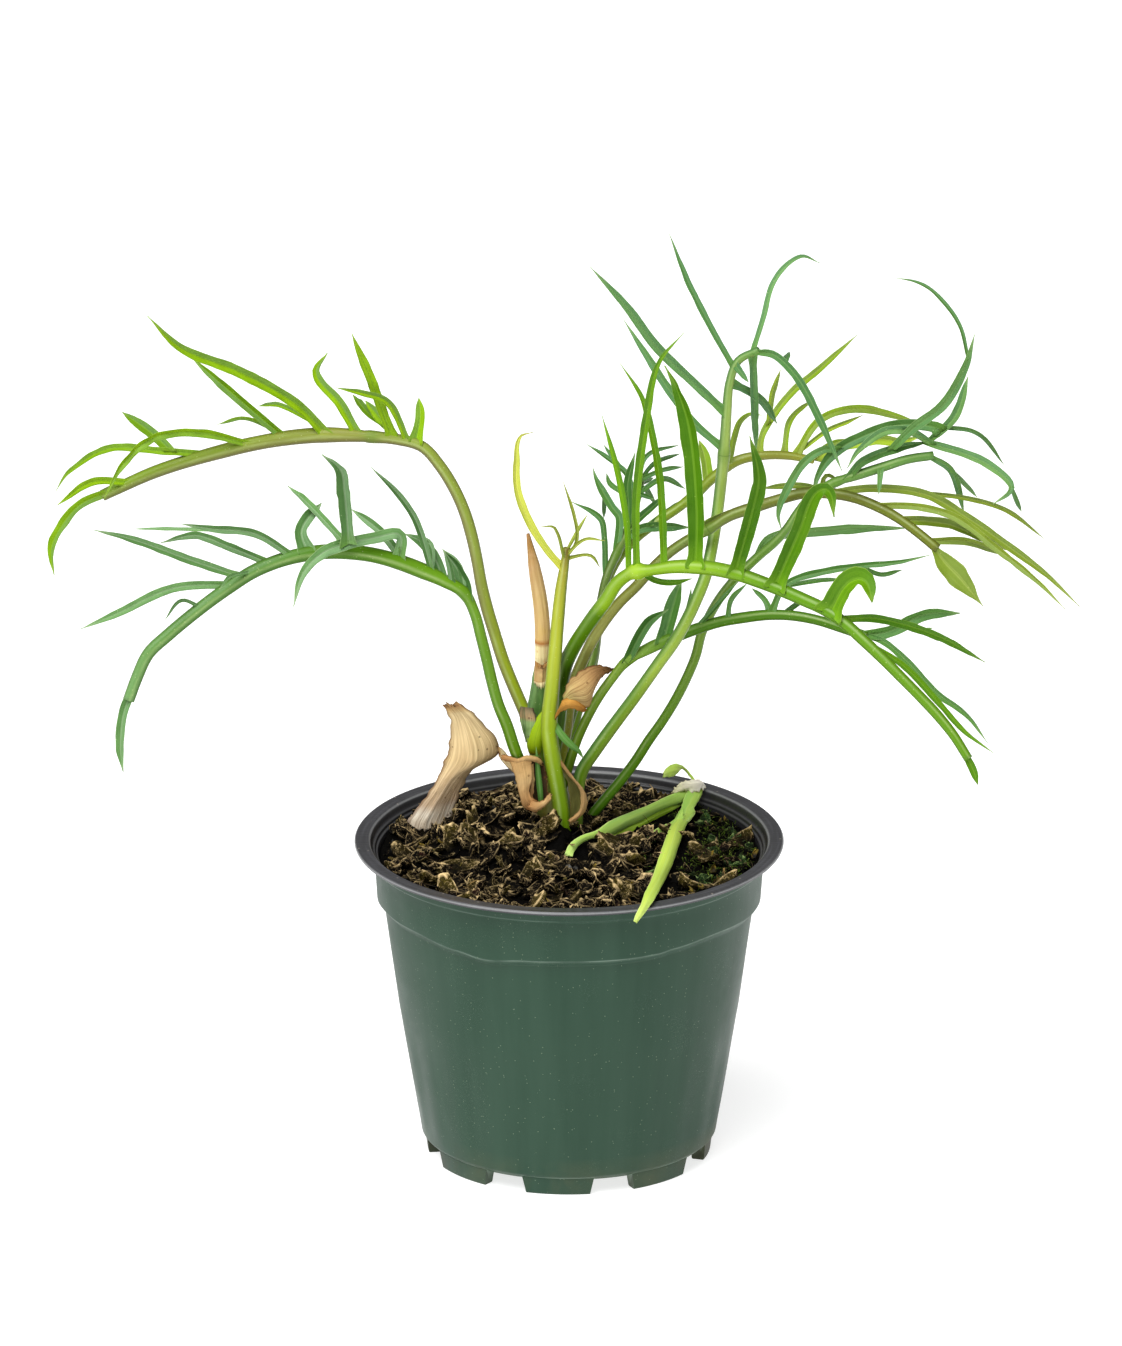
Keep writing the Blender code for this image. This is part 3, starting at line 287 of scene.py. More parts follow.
# A broken leaf lies from the lip at the back right over the soil to the front lip.
fallenLeaf = {
    "long": [
        (51, 59, 149), (46.5, 46, 139.5), (46.3, 30, 132.8), (42.5, -1, 121.4), (36.8, -33, 110.6),
        (33, -60, 104.6), (31, -75, 100), (26, -84, 95), (24, -87.5, 90.5),
    ],
    "short": [
        (50, 57, 148.3), (42.5, 48, 141.5), (31, 32, 136.5), (20, 10, 130.2), (12, -3, 127.2),
        (4.5, -10, 124.4), (-0.8, -15, 120.6), (-1.4, -18, 118.8),
    ],
    "scrap": [(36, 40, 139), (38, 22, 131.5), (29, 14, 128.5)],
    "curl": [(50, 57, 148.3), (46.5, 60, 153), (41, 56, 154.5), (37, 50, 150)],
}
plantShape = {
    "spread": 1.8,  # how much each lobe leans away from the plane of its frond
    "leanCurve": 1.3, "twist": math.radians(16), "tipStart": 0.66, "stalkStep": 2.0, "stalkSides": 18,
    "bladeStep": 1.7, "bladeThick": 0.55, "rootThick": 1.5, "rootReach": 2.6, "flare": 0.85,
    "flareReach": 3.4, "fold": 0.27, "foldChange": 0.45, "ripple": 0.14, "rippleLength": 9.0,
    "rippleStart": 8, "jointReach": 3.2, "jointNeck": 0.10,
    "jointSlope": 14,  # how suddenly the stalk changes its width at its joint
    "wing": 0.2,  # how much wider the rachis is than its CAD solid, whose lobes run on into it
}


def place(across, depth, seen):
    return Vector((across, depth, seen - depth * math.tan(viewDown)))


def placed(spots):
    return [place(*spot) for spot in spots]


def seenHeight(point):
    return point.z + point.y * math.tan(viewDown)


def curveThrough(points, step, fewest=3):
    # even points on a smooth curve through the given ones
    ends = [2 * points[0] - points[1], *points, 2 * points[-1] - points[-2]]
    fine = []
    for before, start, end, after in zip(ends, ends[1:], ends[2:], ends[3:]):
        span = (end - start).length
        leave = (end - before).normalized() * span
        arrive = (after - start).normalized() * span
        for eighth in range(8):
            share = eighth / 8
            square = share * share
            cube = square * share
            fine.append(
                (2 * cube - 3 * square + 1) * start + (cube - 2 * square + share) * leave
                + (3 * square - 2 * cube) * end + (cube - square) * arrive
            )
    fine.append(points[-1])
    reach = [0.0]
    for first, second in zip(fine, fine[1:]):
        reach.append(reach[-1] + (second - first).length)
    count = max(fewest, round(reach[-1] / step))
    made = []
    at = 0
    for index in range(count + 1):
        wanted = reach[-1] * index / count
        while at < len(fine) - 2 and reach[at + 1] < wanted:
            at += 1
        share = (wanted - reach[at]) / max(reach[at + 1] - reach[at], 1e-9)
        made.append(fine[at].lerp(fine[at + 1], min(1, share)))
    return made


def tangentsOf(path):
    pairs = zip(path[:1] + path[:-1], path[1:] + path[-1:])
    return [(after - before).normalized() for before, after in pairs]


def between(values, share):
    at = min(max(share, 0), 1) * (len(values) - 1)
    low = min(int(at), len(values) - 2)
    return values[low] + (values[low + 1] - values[low]) * (at - low)


def lobeWidth(share, width):
    body = 0.80 + 0.20 * math.sin(math.pi * min(1, share / 0.85))
    tip = 1 - max(0, (share - plantShape["tipStart"]) / (1 - plantShape["tipStart"])) ** 2
    return width * body * max(tip, 0.10)


def wander(seed, along, scale):
    # a smooth random value from about -1 to 1 that changes along a piece
    return 2 * noise.noise(Vector((along * scale, 17.3 * seed, 3.1)))


# Meshes. A piece is gathered as lofts, and each corner gets a UV (across, centimetres along) and a tone
# (shade, underside, share along, fold side), which the materials read; the fold side picks the half of a
# blade that takes painted sheen and shade.
def newPiece():
    return {"points": [], "faces": [], "uvs": [], "tones": [], "finishes": []}


def addLoft(piece, rings, across, along, tones, finish=0, capEnds=True):
    base = len(piece["points"])
    columns = len(rings[0])
    for ring, ringTones in zip(rings, tones):
        piece["points"] += ring
        piece["tones"] += ringTones
    for row in range(len(rings) - 1):
        for column in range(columns):
            following = (column + 1) % columns
            low = base + row * columns
            high = low + columns
            piece["faces"].append((low + column, low + following, high + following, high + column))
            piece["uvs"] += [
                (across[column], along[row]), (across[column + 1], along[row]),
                (across[column + 1], along[row + 1]), (across[column], along[row + 1]),
            ]
            piece["finishes"].append(finish)
    if not capEnds:
        return
    for row in (0, len(rings) - 1):
        centre = sum(rings[row], Vector()) / columns
        piece["points"].append(centre)
        piece["tones"].append(tones[row][0])
        top = len(piece["points"]) - 1
        for column in range(columns):
            following = (column + 1) % columns
            low = base + row * columns
            left, right = low + column, low + following
            piece["faces"].append((top, right, left) if row == 0 else (top, left, right))
            piece["uvs"] += [(0.5, along[row]), (across[column], along[row]),
                             (across[column + 1], along[row])]
            piece["finishes"].append(finish)


def turnedOut(mesh):
    # makes every face look outwards
    work = bmesh.new()
    work.from_mesh(mesh)
    bmesh.ops.recalc_face_normals(work, faces=work.faces)
    work.to_mesh(mesh)
    work.free()


def meshOf(name, piece, finishes):
    mesh = bpy.data.meshes.new(name)
    mesh.from_pydata([point * mm for point in piece["points"]], [], piece["faces"])
    uvMap = mesh.uv_layers.new(name="UVMap")
    uvMap.data.foreach_set("uv", [value for uv in piece["uvs"] for value in uv])
    tone = mesh.attributes.new("tone", "FLOAT_COLOR", "POINT")
    tone.data.foreach_set("color", [value for item in piece["tones"] for value in item])
    mesh.polygons.foreach_set("material_index", piece["finishes"])
    for finish in finishes:
        mesh.materials.append(finish)
    turnedOut(mesh)
    mesh.shade_smooth()
    return mesh


def looseObject(name, data):
    obj = bpy.data.objects.new(name, data)
    bpy.context.scene.collection.objects.link(obj)
    return obj


def addObject(name, mesh, slot, *nodes):
    obj = looseObject(name, mesh)
    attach(obj, "root")
    if nodes:
        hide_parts(*nodes)


def addPiece(name, piece, finishes, slot, *nodes):
    addObject(name, meshOf(name, piece, finishes), slot, *nodes)


def nearestRoot(start, lines):
    # the point of the midlines already made that looks nearest to the lobe's start, and its direction
    across, seen = start
    best = None
    for line in lines:
        for index, point in enumerate(line):
            away = (point.x - across) ** 2 + (seenHeight(point) - seen) ** 2
            if best is None or away < best[0]:
                best = (away, line, index)
    line, index = best[1:]
    direction = line[min(index + 1, len(line) - 1)] - line[max(index - 1, 0)]
    return line[index], direction.normalized()


bladeColumns = [-1, -0.94, -0.72, -0.42, -0.15, 0, 0.15, 0.42, 0.72, 0.94, 1]


def addBlade(piece, path, width, rootAhead, look):
    # a thin leaf blade with a midrib, folded along it, with waved edges and a flared root
    total = len(path) - 1
    step = (path[1] - path[0]).length
    seed = look["seed"]
    fold = plantShape["fold"] * (1 + plantShape["foldChange"] * math.sin(seed * 5.1))
    rings, tones = [], []
    for index, (centre, ahead) in enumerate(zip(path, tangentsOf(path))):
        share = index / total
        along = index * step
        side = ahead.cross(toViewer).normalized()
        side = Matrix.Rotation(look["roll"] * (0.4 + 1.2 * share), 3, ahead) @ side
        face = side.cross(ahead)
        half = lobeWidth(share, width) / 2
        if look["spindle"]:
            half *= 0.3 + 0.8 * math.sin(math.pi * share ** 0.9) ** 1.5
        half *= 1 + 0.05 * wander(seed, along, 0.11) + 0.03 * wander(seed + 7, along, 0.34)
        row = side
        if rootAhead is not None:
            lean = rootAhead.dot(side)
            near = math.exp(-((along / plantShape["flareReach"]) ** 2))
            half *= 1 + plantShape["flare"] * near * abs(lean)
            row = side.lerp(rootAhead * math.copysign(1, lean), near * min(1, 1.6 * abs(lean)))
        rooted = math.exp(-along / plantShape["rootReach"])
        thick = min(plantShape["bladeThick"] + plantShape["rootThick"] * rooted, 0.3 + 0.6 * half)
        bend = math.sin(2 * math.pi * along / plantShape["rippleLength"] + seed)
        otherBend = math.sin(2 * math.pi * along / (plantShape["rippleLength"] * 1.27) - seed)
        ripple = look["ripple"] * plantShape["ripple"] * half
        ripple *= 1 - math.exp(-along / plantShape["rippleStart"])

        def point(u, under):
            edge = abs(u)
            lift = fold * half * edge ** 1.4 * 2
            wave = bend if u > 0 else otherBend
            lift += ripple * edge * edge * (wave + 1.2 * wander(seed + (3 if u > 0 else 5), along, 0.21))
            body = thick / 2 * math.sqrt(max(0, 1 - u * u))
            rib = max(0, 1 - edge / 0.2) * min(0.3, 0.10 * half)
            lift += -body - rib if under else body - rib * 0.9
            return centre + row * (half * u) + face * lift

        ring = [point(u, False) for u in bladeColumns] + [point(u, True) for u in bladeColumns[-2:0:-1]]
        rings.append(ring)
        under = [0.0] * len(bladeColumns) + [1.0] * (len(bladeColumns) - 2)
        tones.append([(look["tone"], flag, share, look["halves"]) for flag in under])
    across = [(u + 1) / 2 for u in bladeColumns] + [(u + 1) / 2 for u in bladeColumns[-2:0:-1]] + [0.0]
    addLoft(piece, rings, across, [index * step / 10 for index in range(total + 1)], tones)


def addStalk(piece, path, widths, look, finish=1, sides=None):
    # a stalk, a little flatter from front to back, with the swollen joint below its blade
    sides = sides or plantShape["stalkSides"]
    total = len(path) - 1
    step = (path[1] - path[0]).length
    joint = look.get("joint")
    rings, tones = [], []
    for index, (centre, ahead, width) in enumerate(zip(path, tangentsOf(path), widths)):
        along = index * step
        side = ahead.cross(toViewer).normalized()
        face = side.cross(ahead)
        swell = 0.0
        if joint is not None:
            near = (along - joint * total * step + look["shift"]) / plantShape["jointReach"]
            swell = math.exp(-near * near)
            neck = plantShape["jointNeck"] * math.exp(-((near - 1.1) * 4) ** 2)
            width = width * (1 + look["swell"] * swell - neck)
        width *= 1 + 0.025 * wander(look["seed"], along, 0.06)
        ring = []
        for corner in range(sides):
            turn = 2 * math.pi * corner / sides
            ridge = 1 + look.get("ridge", 0.015) * math.cos(6 * turn + 1)
            ring.append(
                centre + side * (math.cos(turn) * width / 2 * ridge)
                + face * (math.sin(turn) * width / 2 * ridge * look["depth"])
            )
        rings.append(ring)
        tones.append([(0.5, swell, index / total, 0.5)] * sides)
    across = [corner / sides for corner in range(sides + 1)]
    addLoft(piece, rings, across, [index * step / 10 for index in range(total + 1)], tones, finish)


def evenStalk(shape, step, fineStep):
    # a drawn stalk's midline, a finer one, and the width at each of its points
    coarse = curveThrough(placed(shape["path"]), step)
    widths = [between(shape["widths"], index / (len(coarse) - 1)) for index in range(len(coarse))]
    path = curveThrough(coarse, fineStep)
    return coarse, path, [between(widths, index / (len(path) - 1)) for index in range(len(path))]


plainSheet = {
    "crease": 0.25, "rag": 0.5, "jagged": 1.2, "thick": 0.4, "tone": 0.5, "halves": 0.5, "shade": False,
}


def addSheet(piece, look, finish=0):
    # a thin curled sheet between two drawn edges: (across, depth, seen) places from its root to its tip
    look = {**plainSheet, **look}
    rows, columns, seed = look["rows"], look["columns"], look["seed"]
    leftEdge, rightEdge = (curveThrough(placed(look[side]), 1000, rows) for side in ("left", "right"))
    middles = [(a + b) / 2 for a, b in zip(leftEdge, rightEdge)]
    aheads = tangentsOf(middles)
    rings, tones = [], []
    for index, (start, end, ahead) in enumerate(zip(leftEdge, rightEdge, aheads)):
        share = index / rows
        row = end - start
        face = row.cross(ahead).normalized()
        if face.dot(toViewer) < 0:
            face = -face
        bulge = between(look["bulge"], share) * row.length
        grid = []
        for column in range(columns + 1):
            v = column / columns
            point = start + row * v + face * (bulge * math.sin(math.pi * v))
            lines = noise.noise(Vector((v * 9 + seed, share * 2.2, seed)))
            crumple = noise.noise(Vector((v * 3.1 + seed, share * 5.3, seed * 2)))
            point += face * look["crease"] * (lines + 1.6 * crumple)
            edge = (1 - min(v, 1 - v) * 8) if min(v, 1 - v) < 0.125 else 0
            point += row.normalized() * (look["rag"] * edge * wander(seed + (v > 0.5), share * 40, 0.5))
            if index in (0, rows):
                point += ahead * look["jagged"] * wander(seed + 3, v * 40, 0.31)
            grid.append(point)
        half = look["thick"] / 2
        ring = [p + face * half for p in grid] + [p - face * half for p in reversed(grid)]
        rings.append(ring)
        upper, under = ((look["tone"], side, share, look["halves"]) for side in (float(look["shade"]), 1.0))
        tones.append([upper] * (columns + 1) + [under] * (columns + 1))
    values = [column / columns for column in range(columns + 1)]
    across = values + values[::-1] + [0.0]
    length = sum((b - a).length for a, b in zip(middles, middles[1:]))
    addLoft(piece, rings, across, [length * index / rows / 10 for index in range(rows + 1)], tones, finish)


# Materials. Colours are written as they look on a screen, from 0 to 255.
desk = {}  # holds the node tree that is being built


def paint(*values):
    # a screen colour as the amounts of light that a material works with
    lights = [((value / 255 + 0.055) / 1.055) ** 2.4 if value > 10 else value / 3294 for value in values]
    return (*lights, 1)


def wire(source, target):
    desk["tree"].links.new(source, target)


def put(kind, links=None, **settings):
    # adds a node, links or sets its inputs and returns it
    node = desk["tree"].nodes.new(kind)
    for key, value in settings.items():
        setattr(node, key, value)
    for socket, source in (links or {}).items():
        if isinstance(source, bpy.types.NodeSocket):
            wire(source, node.inputs[socket])
        else:
            node.inputs[socket].default_value = source
    return node


def maths(operation, first, second=0.0):
    return put("ShaderNodeMath", {0: first, 1: second}, operation=operation).outputs[0]


def times(first, second):
    return maths("MULTIPLY", first, second)


def plus(first, second):
    return maths("ADD", first, second)


def minus(first, second):
    return maths("SUBTRACT", first, second)


def absolute(value):
    return maths("ABSOLUTE", value)


def mix(share, *colours):
    first, second = (item if isinstance(item, bpy.types.NodeSocket) else paint(*item) for item in colours)
    return put("ShaderNodeMix", {0: share, 6: first, 7: second}, data_type="RGBA").outputs[2]


def coats(colour, *layers):
    # paints one layer after another over a colour, each where its mask says
    for mask, over in layers:
        colour = mix(mask, colour, over)
    return colour


def spread(value, low, high, start=0.0, end=1.0):
    # moves a value from one range to another and holds it there
    return put("ShaderNodeMapRange", {0: value, 1: low, 2: high, 3: start, 4: end}).outputs[0]


def graded(share, stops):
    # a colour that changes along a piece
    colour = stops[0][1]
    for (start, _), (end, following) in zip(stops, stops[1:]):
        colour = mix(spread(share, start, end), colour, following)
    return colour


def cloud(vector, scale, detail, rough=0.55, twist=0.0):
    links = {"Vector": vector, "Scale": scale, "Detail": detail, "Roughness": rough, "Distortion": twist}
    return put("ShaderNodeTexNoise", links).outputs["Fac"]


def joined(x, y, z=0.0):
    return put("ShaderNodeCombineXYZ", {0: x, 1: y, 2: z}).outputs[0]


def newGroup(name, inputs, outputs, kind="Shader"):
    # each input is given by its plain value or, where it has none, by its kind of socket
    group = bpy.data.node_groups.new(name, kind + "NodeTree")
    newSocket = group.interface.new_socket
    for label, value in inputs.items():
        socketKind = {float: "Float", int: "Int"}.get(type(value), value)
        socket = newSocket(name=label, in_out="INPUT", socket_type="NodeSocket" + socketKind)
        if value != socketKind:
            socket.default_value = value
    for label in outputs:
        socketKind = "Float" if kind == "Shader" else label
        newSocket(name=label, in_out="OUTPUT", socket_type="NodeSocket" + socketKind)
    desk["tree"] = group
    return group, put("NodeGroupInput").outputs, put("NodeGroupOutput").inputs


def useGroup(group, links):
    return put("ShaderNodeGroup", links, node_tree=group).outputs


def makeStreaks():
    # fine lines that run lengthwise, from a UV whose across is 0 to 1 and along is in centimetres
    inputs = {"Across": 0.5, "Along": 0.0, "Lines": 30.0, "Stretch": 0.8, "Shade": 0.0}
    group, given, out = newGroup("lengthwiseStreaks", inputs, ["Fine", "Broad"])
    across, along, lines, stretch, shade = (given[label] for label in inputs)
    fine = joined(times(across, lines), times(along, stretch), shade)
    broad = joined(times(across, 5.0), times(along, 0.45), shade)
    wire(spread(cloud(fine, 1.0, 2.0), 0.32, 0.68), out["Fine"])
    wire(spread(cloud(broad, 1.0, 3.0), 0.35, 0.65), out["Broad"])
    return group


def makeMottle():
    # soft blotches and small marks that are scattered over a surface
    inputs = {"Vector": "Vector", "Blotch Scale": 60.0, "Mark Scale": 500.0, "Mark Size": 0.18}
    group, given, out = newGroup("mottleAndMarks", inputs, ["Blotch", "Mark", "Grain"])
    wire(spread(cloud(given["Vector"], given["Blotch Scale"], 4.0, 0.6, 0.4), 0.36, 0.66), out["Blotch"])
    cells = put("ShaderNodeTexVoronoi", {"Vector": given["Vector"], "Scale": given["Mark Scale"]}).outputs
    inside = maths("LESS_THAN", cells["Distance"], given["Mark Size"])
    chosen = maths("GREATER_THAN", cells["Color"], 0.62)
    wire(times(inside, chosen), out["Mark"])
    wire(cloud(given["Vector"], 1400.0, 2.0), out["Grain"])
    return group


def makeBladeMasks():
    # where a blade's midrib, its edges and its left half are
    inputs = {"Across": 0.5, "Rib Width": 0.05, "Edge Width": 0.05}
    group, given, out = newGroup("bladeMasks", inputs, ["Rib", "Groove", "Edge", "Rim", "Left"])
    away = absolute(minus(given["Across"], 0.5))
    wire(spread(away, given["Rib Width"], 0.0), out["Rib"])
    wire(spread(away, minus(0.5, given["Edge Width"]), 0.5), out["Edge"])
    wire(spread(away, 0.03, 0.0), out["Groove"])
    wire(minus(spread(away, 0.3, 0.43), spread(away, 0.45, 0.49)), out["Rim"])
    wire(spread(given["Across"], 0.47, 0.53, 1.0, 0.0), out["Left"])
    return group


streaks = makeStreaks()
mottle = makeMottle()
bladeMasks = makeBladeMasks()


def newFinish(name, **settings):
    # a material with its Principled BSDF, whose plain values are set on its own sockets
    finish = bpy.data.materials.new(name)
    finish.use_nodes = True
    desk["tree"] = finish.node_tree
    shader = finish.node_tree.nodes["Principled BSDF"].inputs
    for socket, value in settings.items():
        shader[socket.replace("_", " ")].default_value = value
    return finish, shader


def dress(shader, colour, rough, height, strength, distance):
    bump = put("ShaderNodeBump", {"Height": height, "Strength": strength, "Distance": distance}).outputs[0]
    for socket, source in (("Base Color", colour), ("Roughness", rough), ("Normal", bump)):
        wire(source, shader[socket])


def objectPlace():
    return put("ShaderNodeTexCoord").outputs["Object"]


def attribute(name, output="Fac"):
    return put("ShaderNodeAttribute", attribute_name=name).outputs[output]


def surfaceInputs():
    uv = put("ShaderNodeUVMap", uv_map="UVMap").outputs[0]
    across, along, _ = put("ShaderNodeSeparateXYZ", {0: uv}).outputs
    tone = put("ShaderNodeAttribute", attribute_name="tone").outputs
    shade, under, share = put("ShaderNodeSeparateColor", {0: tone["Color"]}).outputs
    return across, along, shade, under, share, tone["Alpha"], objectPlace()


def streaksOf(across, along, lines, stretch, shade):
    links = {"Across": across, "Along": along, "Lines": lines, "Stretch": stretch, "Shade": shade}
    return useGroup(streaks, links)


def marksOn(spot, blotchScale, markScale, markSize):
    links = {"Vector": spot, "Blotch Scale": blotchScale, "Mark Scale": markScale, "Mark Size": markSize}
    return useGroup(mottle, links)


def bladeFinish(name, look):
    finish, shader = newFinish(name, Specular_IOR_Level=0.16)
    across, along, shade, under, share, halves, spot = surfaceInputs()
    masks = useGroup(bladeMasks, {"Across": across, "Rib Width": 0.10, "Edge Width": 0.04})
    lines = streaksOf(across, along, 26.0, 0.5, shade)
    marks = marksOn(spot, 70.0, 420.0, 0.10)
    # painted sheen and shade: one half of some lobes takes a greyer colour, as if turned from the light;
    # its share is the blade's own value
    leftPaintedLightShare = times(masks["Left"], spread(halves, 0.5, 1.0))
    rightPaintedLightShare = times(minus(1.0, masks["Left"]), spread(halves, 0.5, 0.0))
    colour = coats(
        mix(shade, look["deep"], look["bright"]),
        (times(lines["Broad"], 0.5), look["mid"]),
        (plus(leftPaintedLightShare, rightPaintedLightShare), look["halfSheenAndShade"]),
        (times(lines["Fine"], 0.3), look["deep"]),
        (times(masks["Rim"], 0.3), look["deep"]),
        (times(marks["Blotch"], 0.14), look["bright"]),
        (times(under, 0.75), look["under"]),
        (times(masks["Rib"], look.get("ribShare", 0.5)), look["rib"]),
        # painted shade in the crease along the midrib
        (times(masks["Groove"], 0.6), look["deep"]),
        # the pale edge is partly the blade's own pale margin and partly a painted rim highlight
        (times(masks["Edge"], 0.55), look["edge"]),
        (times(spread(share, 0.86, 1.0), 0.3), look["edge"]),
        (times(spread(share, 0.14, 0.0), 0.55), look["foot"]),
        (times(marks["Mark"], 0.35), look["edge"]),
    )
    rough = plus(plus(0.40, times(marks["Blotch"], 0.14)), times(lines["Fine"], 0.08))
    height = plus(times(lines["Fine"], 0.6), times(marks["Grain"], 0.4))
    dress(shader, colour, rough, height, 0.35, 0.00025)
    return finish


plainStalk = {
    "rightPaintedLightShare": 0.0, "right": (160, 185, 90), "streak": 0.22, "jointShare": 0.5,
    "jointColour": (85, 126, 20),
}
plainPaper = {"edgeWidth": 0.05, "lines": 34.0, "veinShare": 0.42, "underShare": 0.6}


def stalkFinish(name, look):
    look = {**plainStalk, **look}
    finish, shader = newFinish(name, Specular_IOR_Level=0.22)
    across, along, shade, joint, share, _, spot = surfaceInputs()
    lines = streaksOf(across, along, 22.0, 0.35, shade)
    marks = marksOn(spot, 110.0, 700.0, 0.16)
    facing = maths("COSINE", times(across, 2 * math.pi))
    streak = look["streakColour"]
    gleam = spread(absolute(plus(facing, 0.26)), 0.36, 0.04)
    colour = coats(
        graded(share, look["stalk"]),
        # painted light and shade down the stalk's left and right sides
        (times(spread(facing, 0.1, -0.8), look["leftPaintedLightShare"]), look["left"]),
        (times(spread(facing, 0.2, 0.9), look["rightPaintedLightShare"]), look["right"]),
        (times(lines["Broad"], look["streak"]), streak),
        # painted shade where the stalk turns away at both sides
        (times(spread(absolute(facing), 0.62, 1.0), 0.5), [value * 0.62 for value in streak]),
        (times(lines["Fine"], 0.18), streak),
        # a painted highlight: a pale gleam along it; a thin dark ring at its joint
        (times(gleam, spread(lines["Broad"], 0.0, 1.0, 0.3, 0.06)), (212, 230, 160)),
        (times(joint, look["jointShare"]), look["jointColour"]),
        (spread(joint, 0.94, 1.0, 0.0, 0.6), (52, 76, 12)),
        (times(marks["Mark"], 0.30), (205, 215, 150)),
    )
    rough = plus(0.30, times(marks["Blotch"], 0.16))
    height = plus(times(lines["Fine"], 0.7), times(marks["Grain"], 0.3))
    dress(shader, colour, rough, height, 0.3, 0.0003)
    return finish


def dryFinish(name, look):
    # papery dead tissue: pale, with dark edges, fine veins along it and stains
    look = {**plainPaper, **look}
    finish, shader = newFinish(name, Specular_IOR_Level=0.12)
    across, along, shade, under, share, _, spot = surfaceInputs()
    masks = useGroup(bladeMasks, {"Across": across, "Rib Width": 0.03, "Edge Width": look["edgeWidth"]})
    lines = streaksOf(across, along, look["lines"], 0.5, shade)
    marks = marksOn(spot, 95.0, 330.0, 0.16)
    colour = coats(
        graded(share, look["along"]),
        (times(lines["Fine"], look["veinShare"]), look["vein"]),
        (times(marks["Blotch"], 0.30), look["stain"]),
        (times(under, look["underShare"]), look["under"]),
        (times(masks["Edge"], 0.75), look["edge"]),
        (times(marks["Mark"], 0.55), look["edge"]),
    )
    height = plus(times(lines["Fine"], 0.7), times(marks["Blotch"], 0.5))
    dress(shader, colour, spread(marks["Blotch"], 0.0, 1.0, 0.55, 0.8), height, 0.7, 0.0004)
    return finish


# Fronds: what each one's blades and stalk look like; each stalk's left and right colours are painted light
# and shade down its sides
freshBlade = {
    "bright": (98, 152, 0), "deep": (50, 100, 0), "mid": (76, 130, 0), "halfSheenAndShade": (66, 118, 44),
    "under": (92, 132, 34), "rib": (140, 184, 52), "edge": (176, 202, 96), "foot": (120, 166, 30),
}
darkBlade = {
    "bright": (98, 148, 66), "deep": (48, 92, 28), "mid": (72, 120, 44), "halfSheenAndShade": (92, 138, 88),
    "under": (88, 126, 66), "rib": (140, 176, 104), "edge": (192, 214, 150), "foot": (96, 142, 46),
}
blueBlade = {
    "bright": (122, 168, 100), "deep": (54, 94, 40), "mid": (92, 138, 72), "halfSheenAndShade": (132, 168, 120),
    "under": (74, 110, 58), "rib": (176, 198, 160), "edge": (204, 222, 172), "foot": (106, 150, 54),
}
oliveBlade = {
    "bright": (148, 168, 56), "deep": (88, 112, 22), "mid": (120, 142, 38), "halfSheenAndShade": (126, 148, 74),
    "under": (134, 148, 72), "rib": (176, 190, 100), "edge": (194, 200, 128), "foot": (150, 160, 70),
}
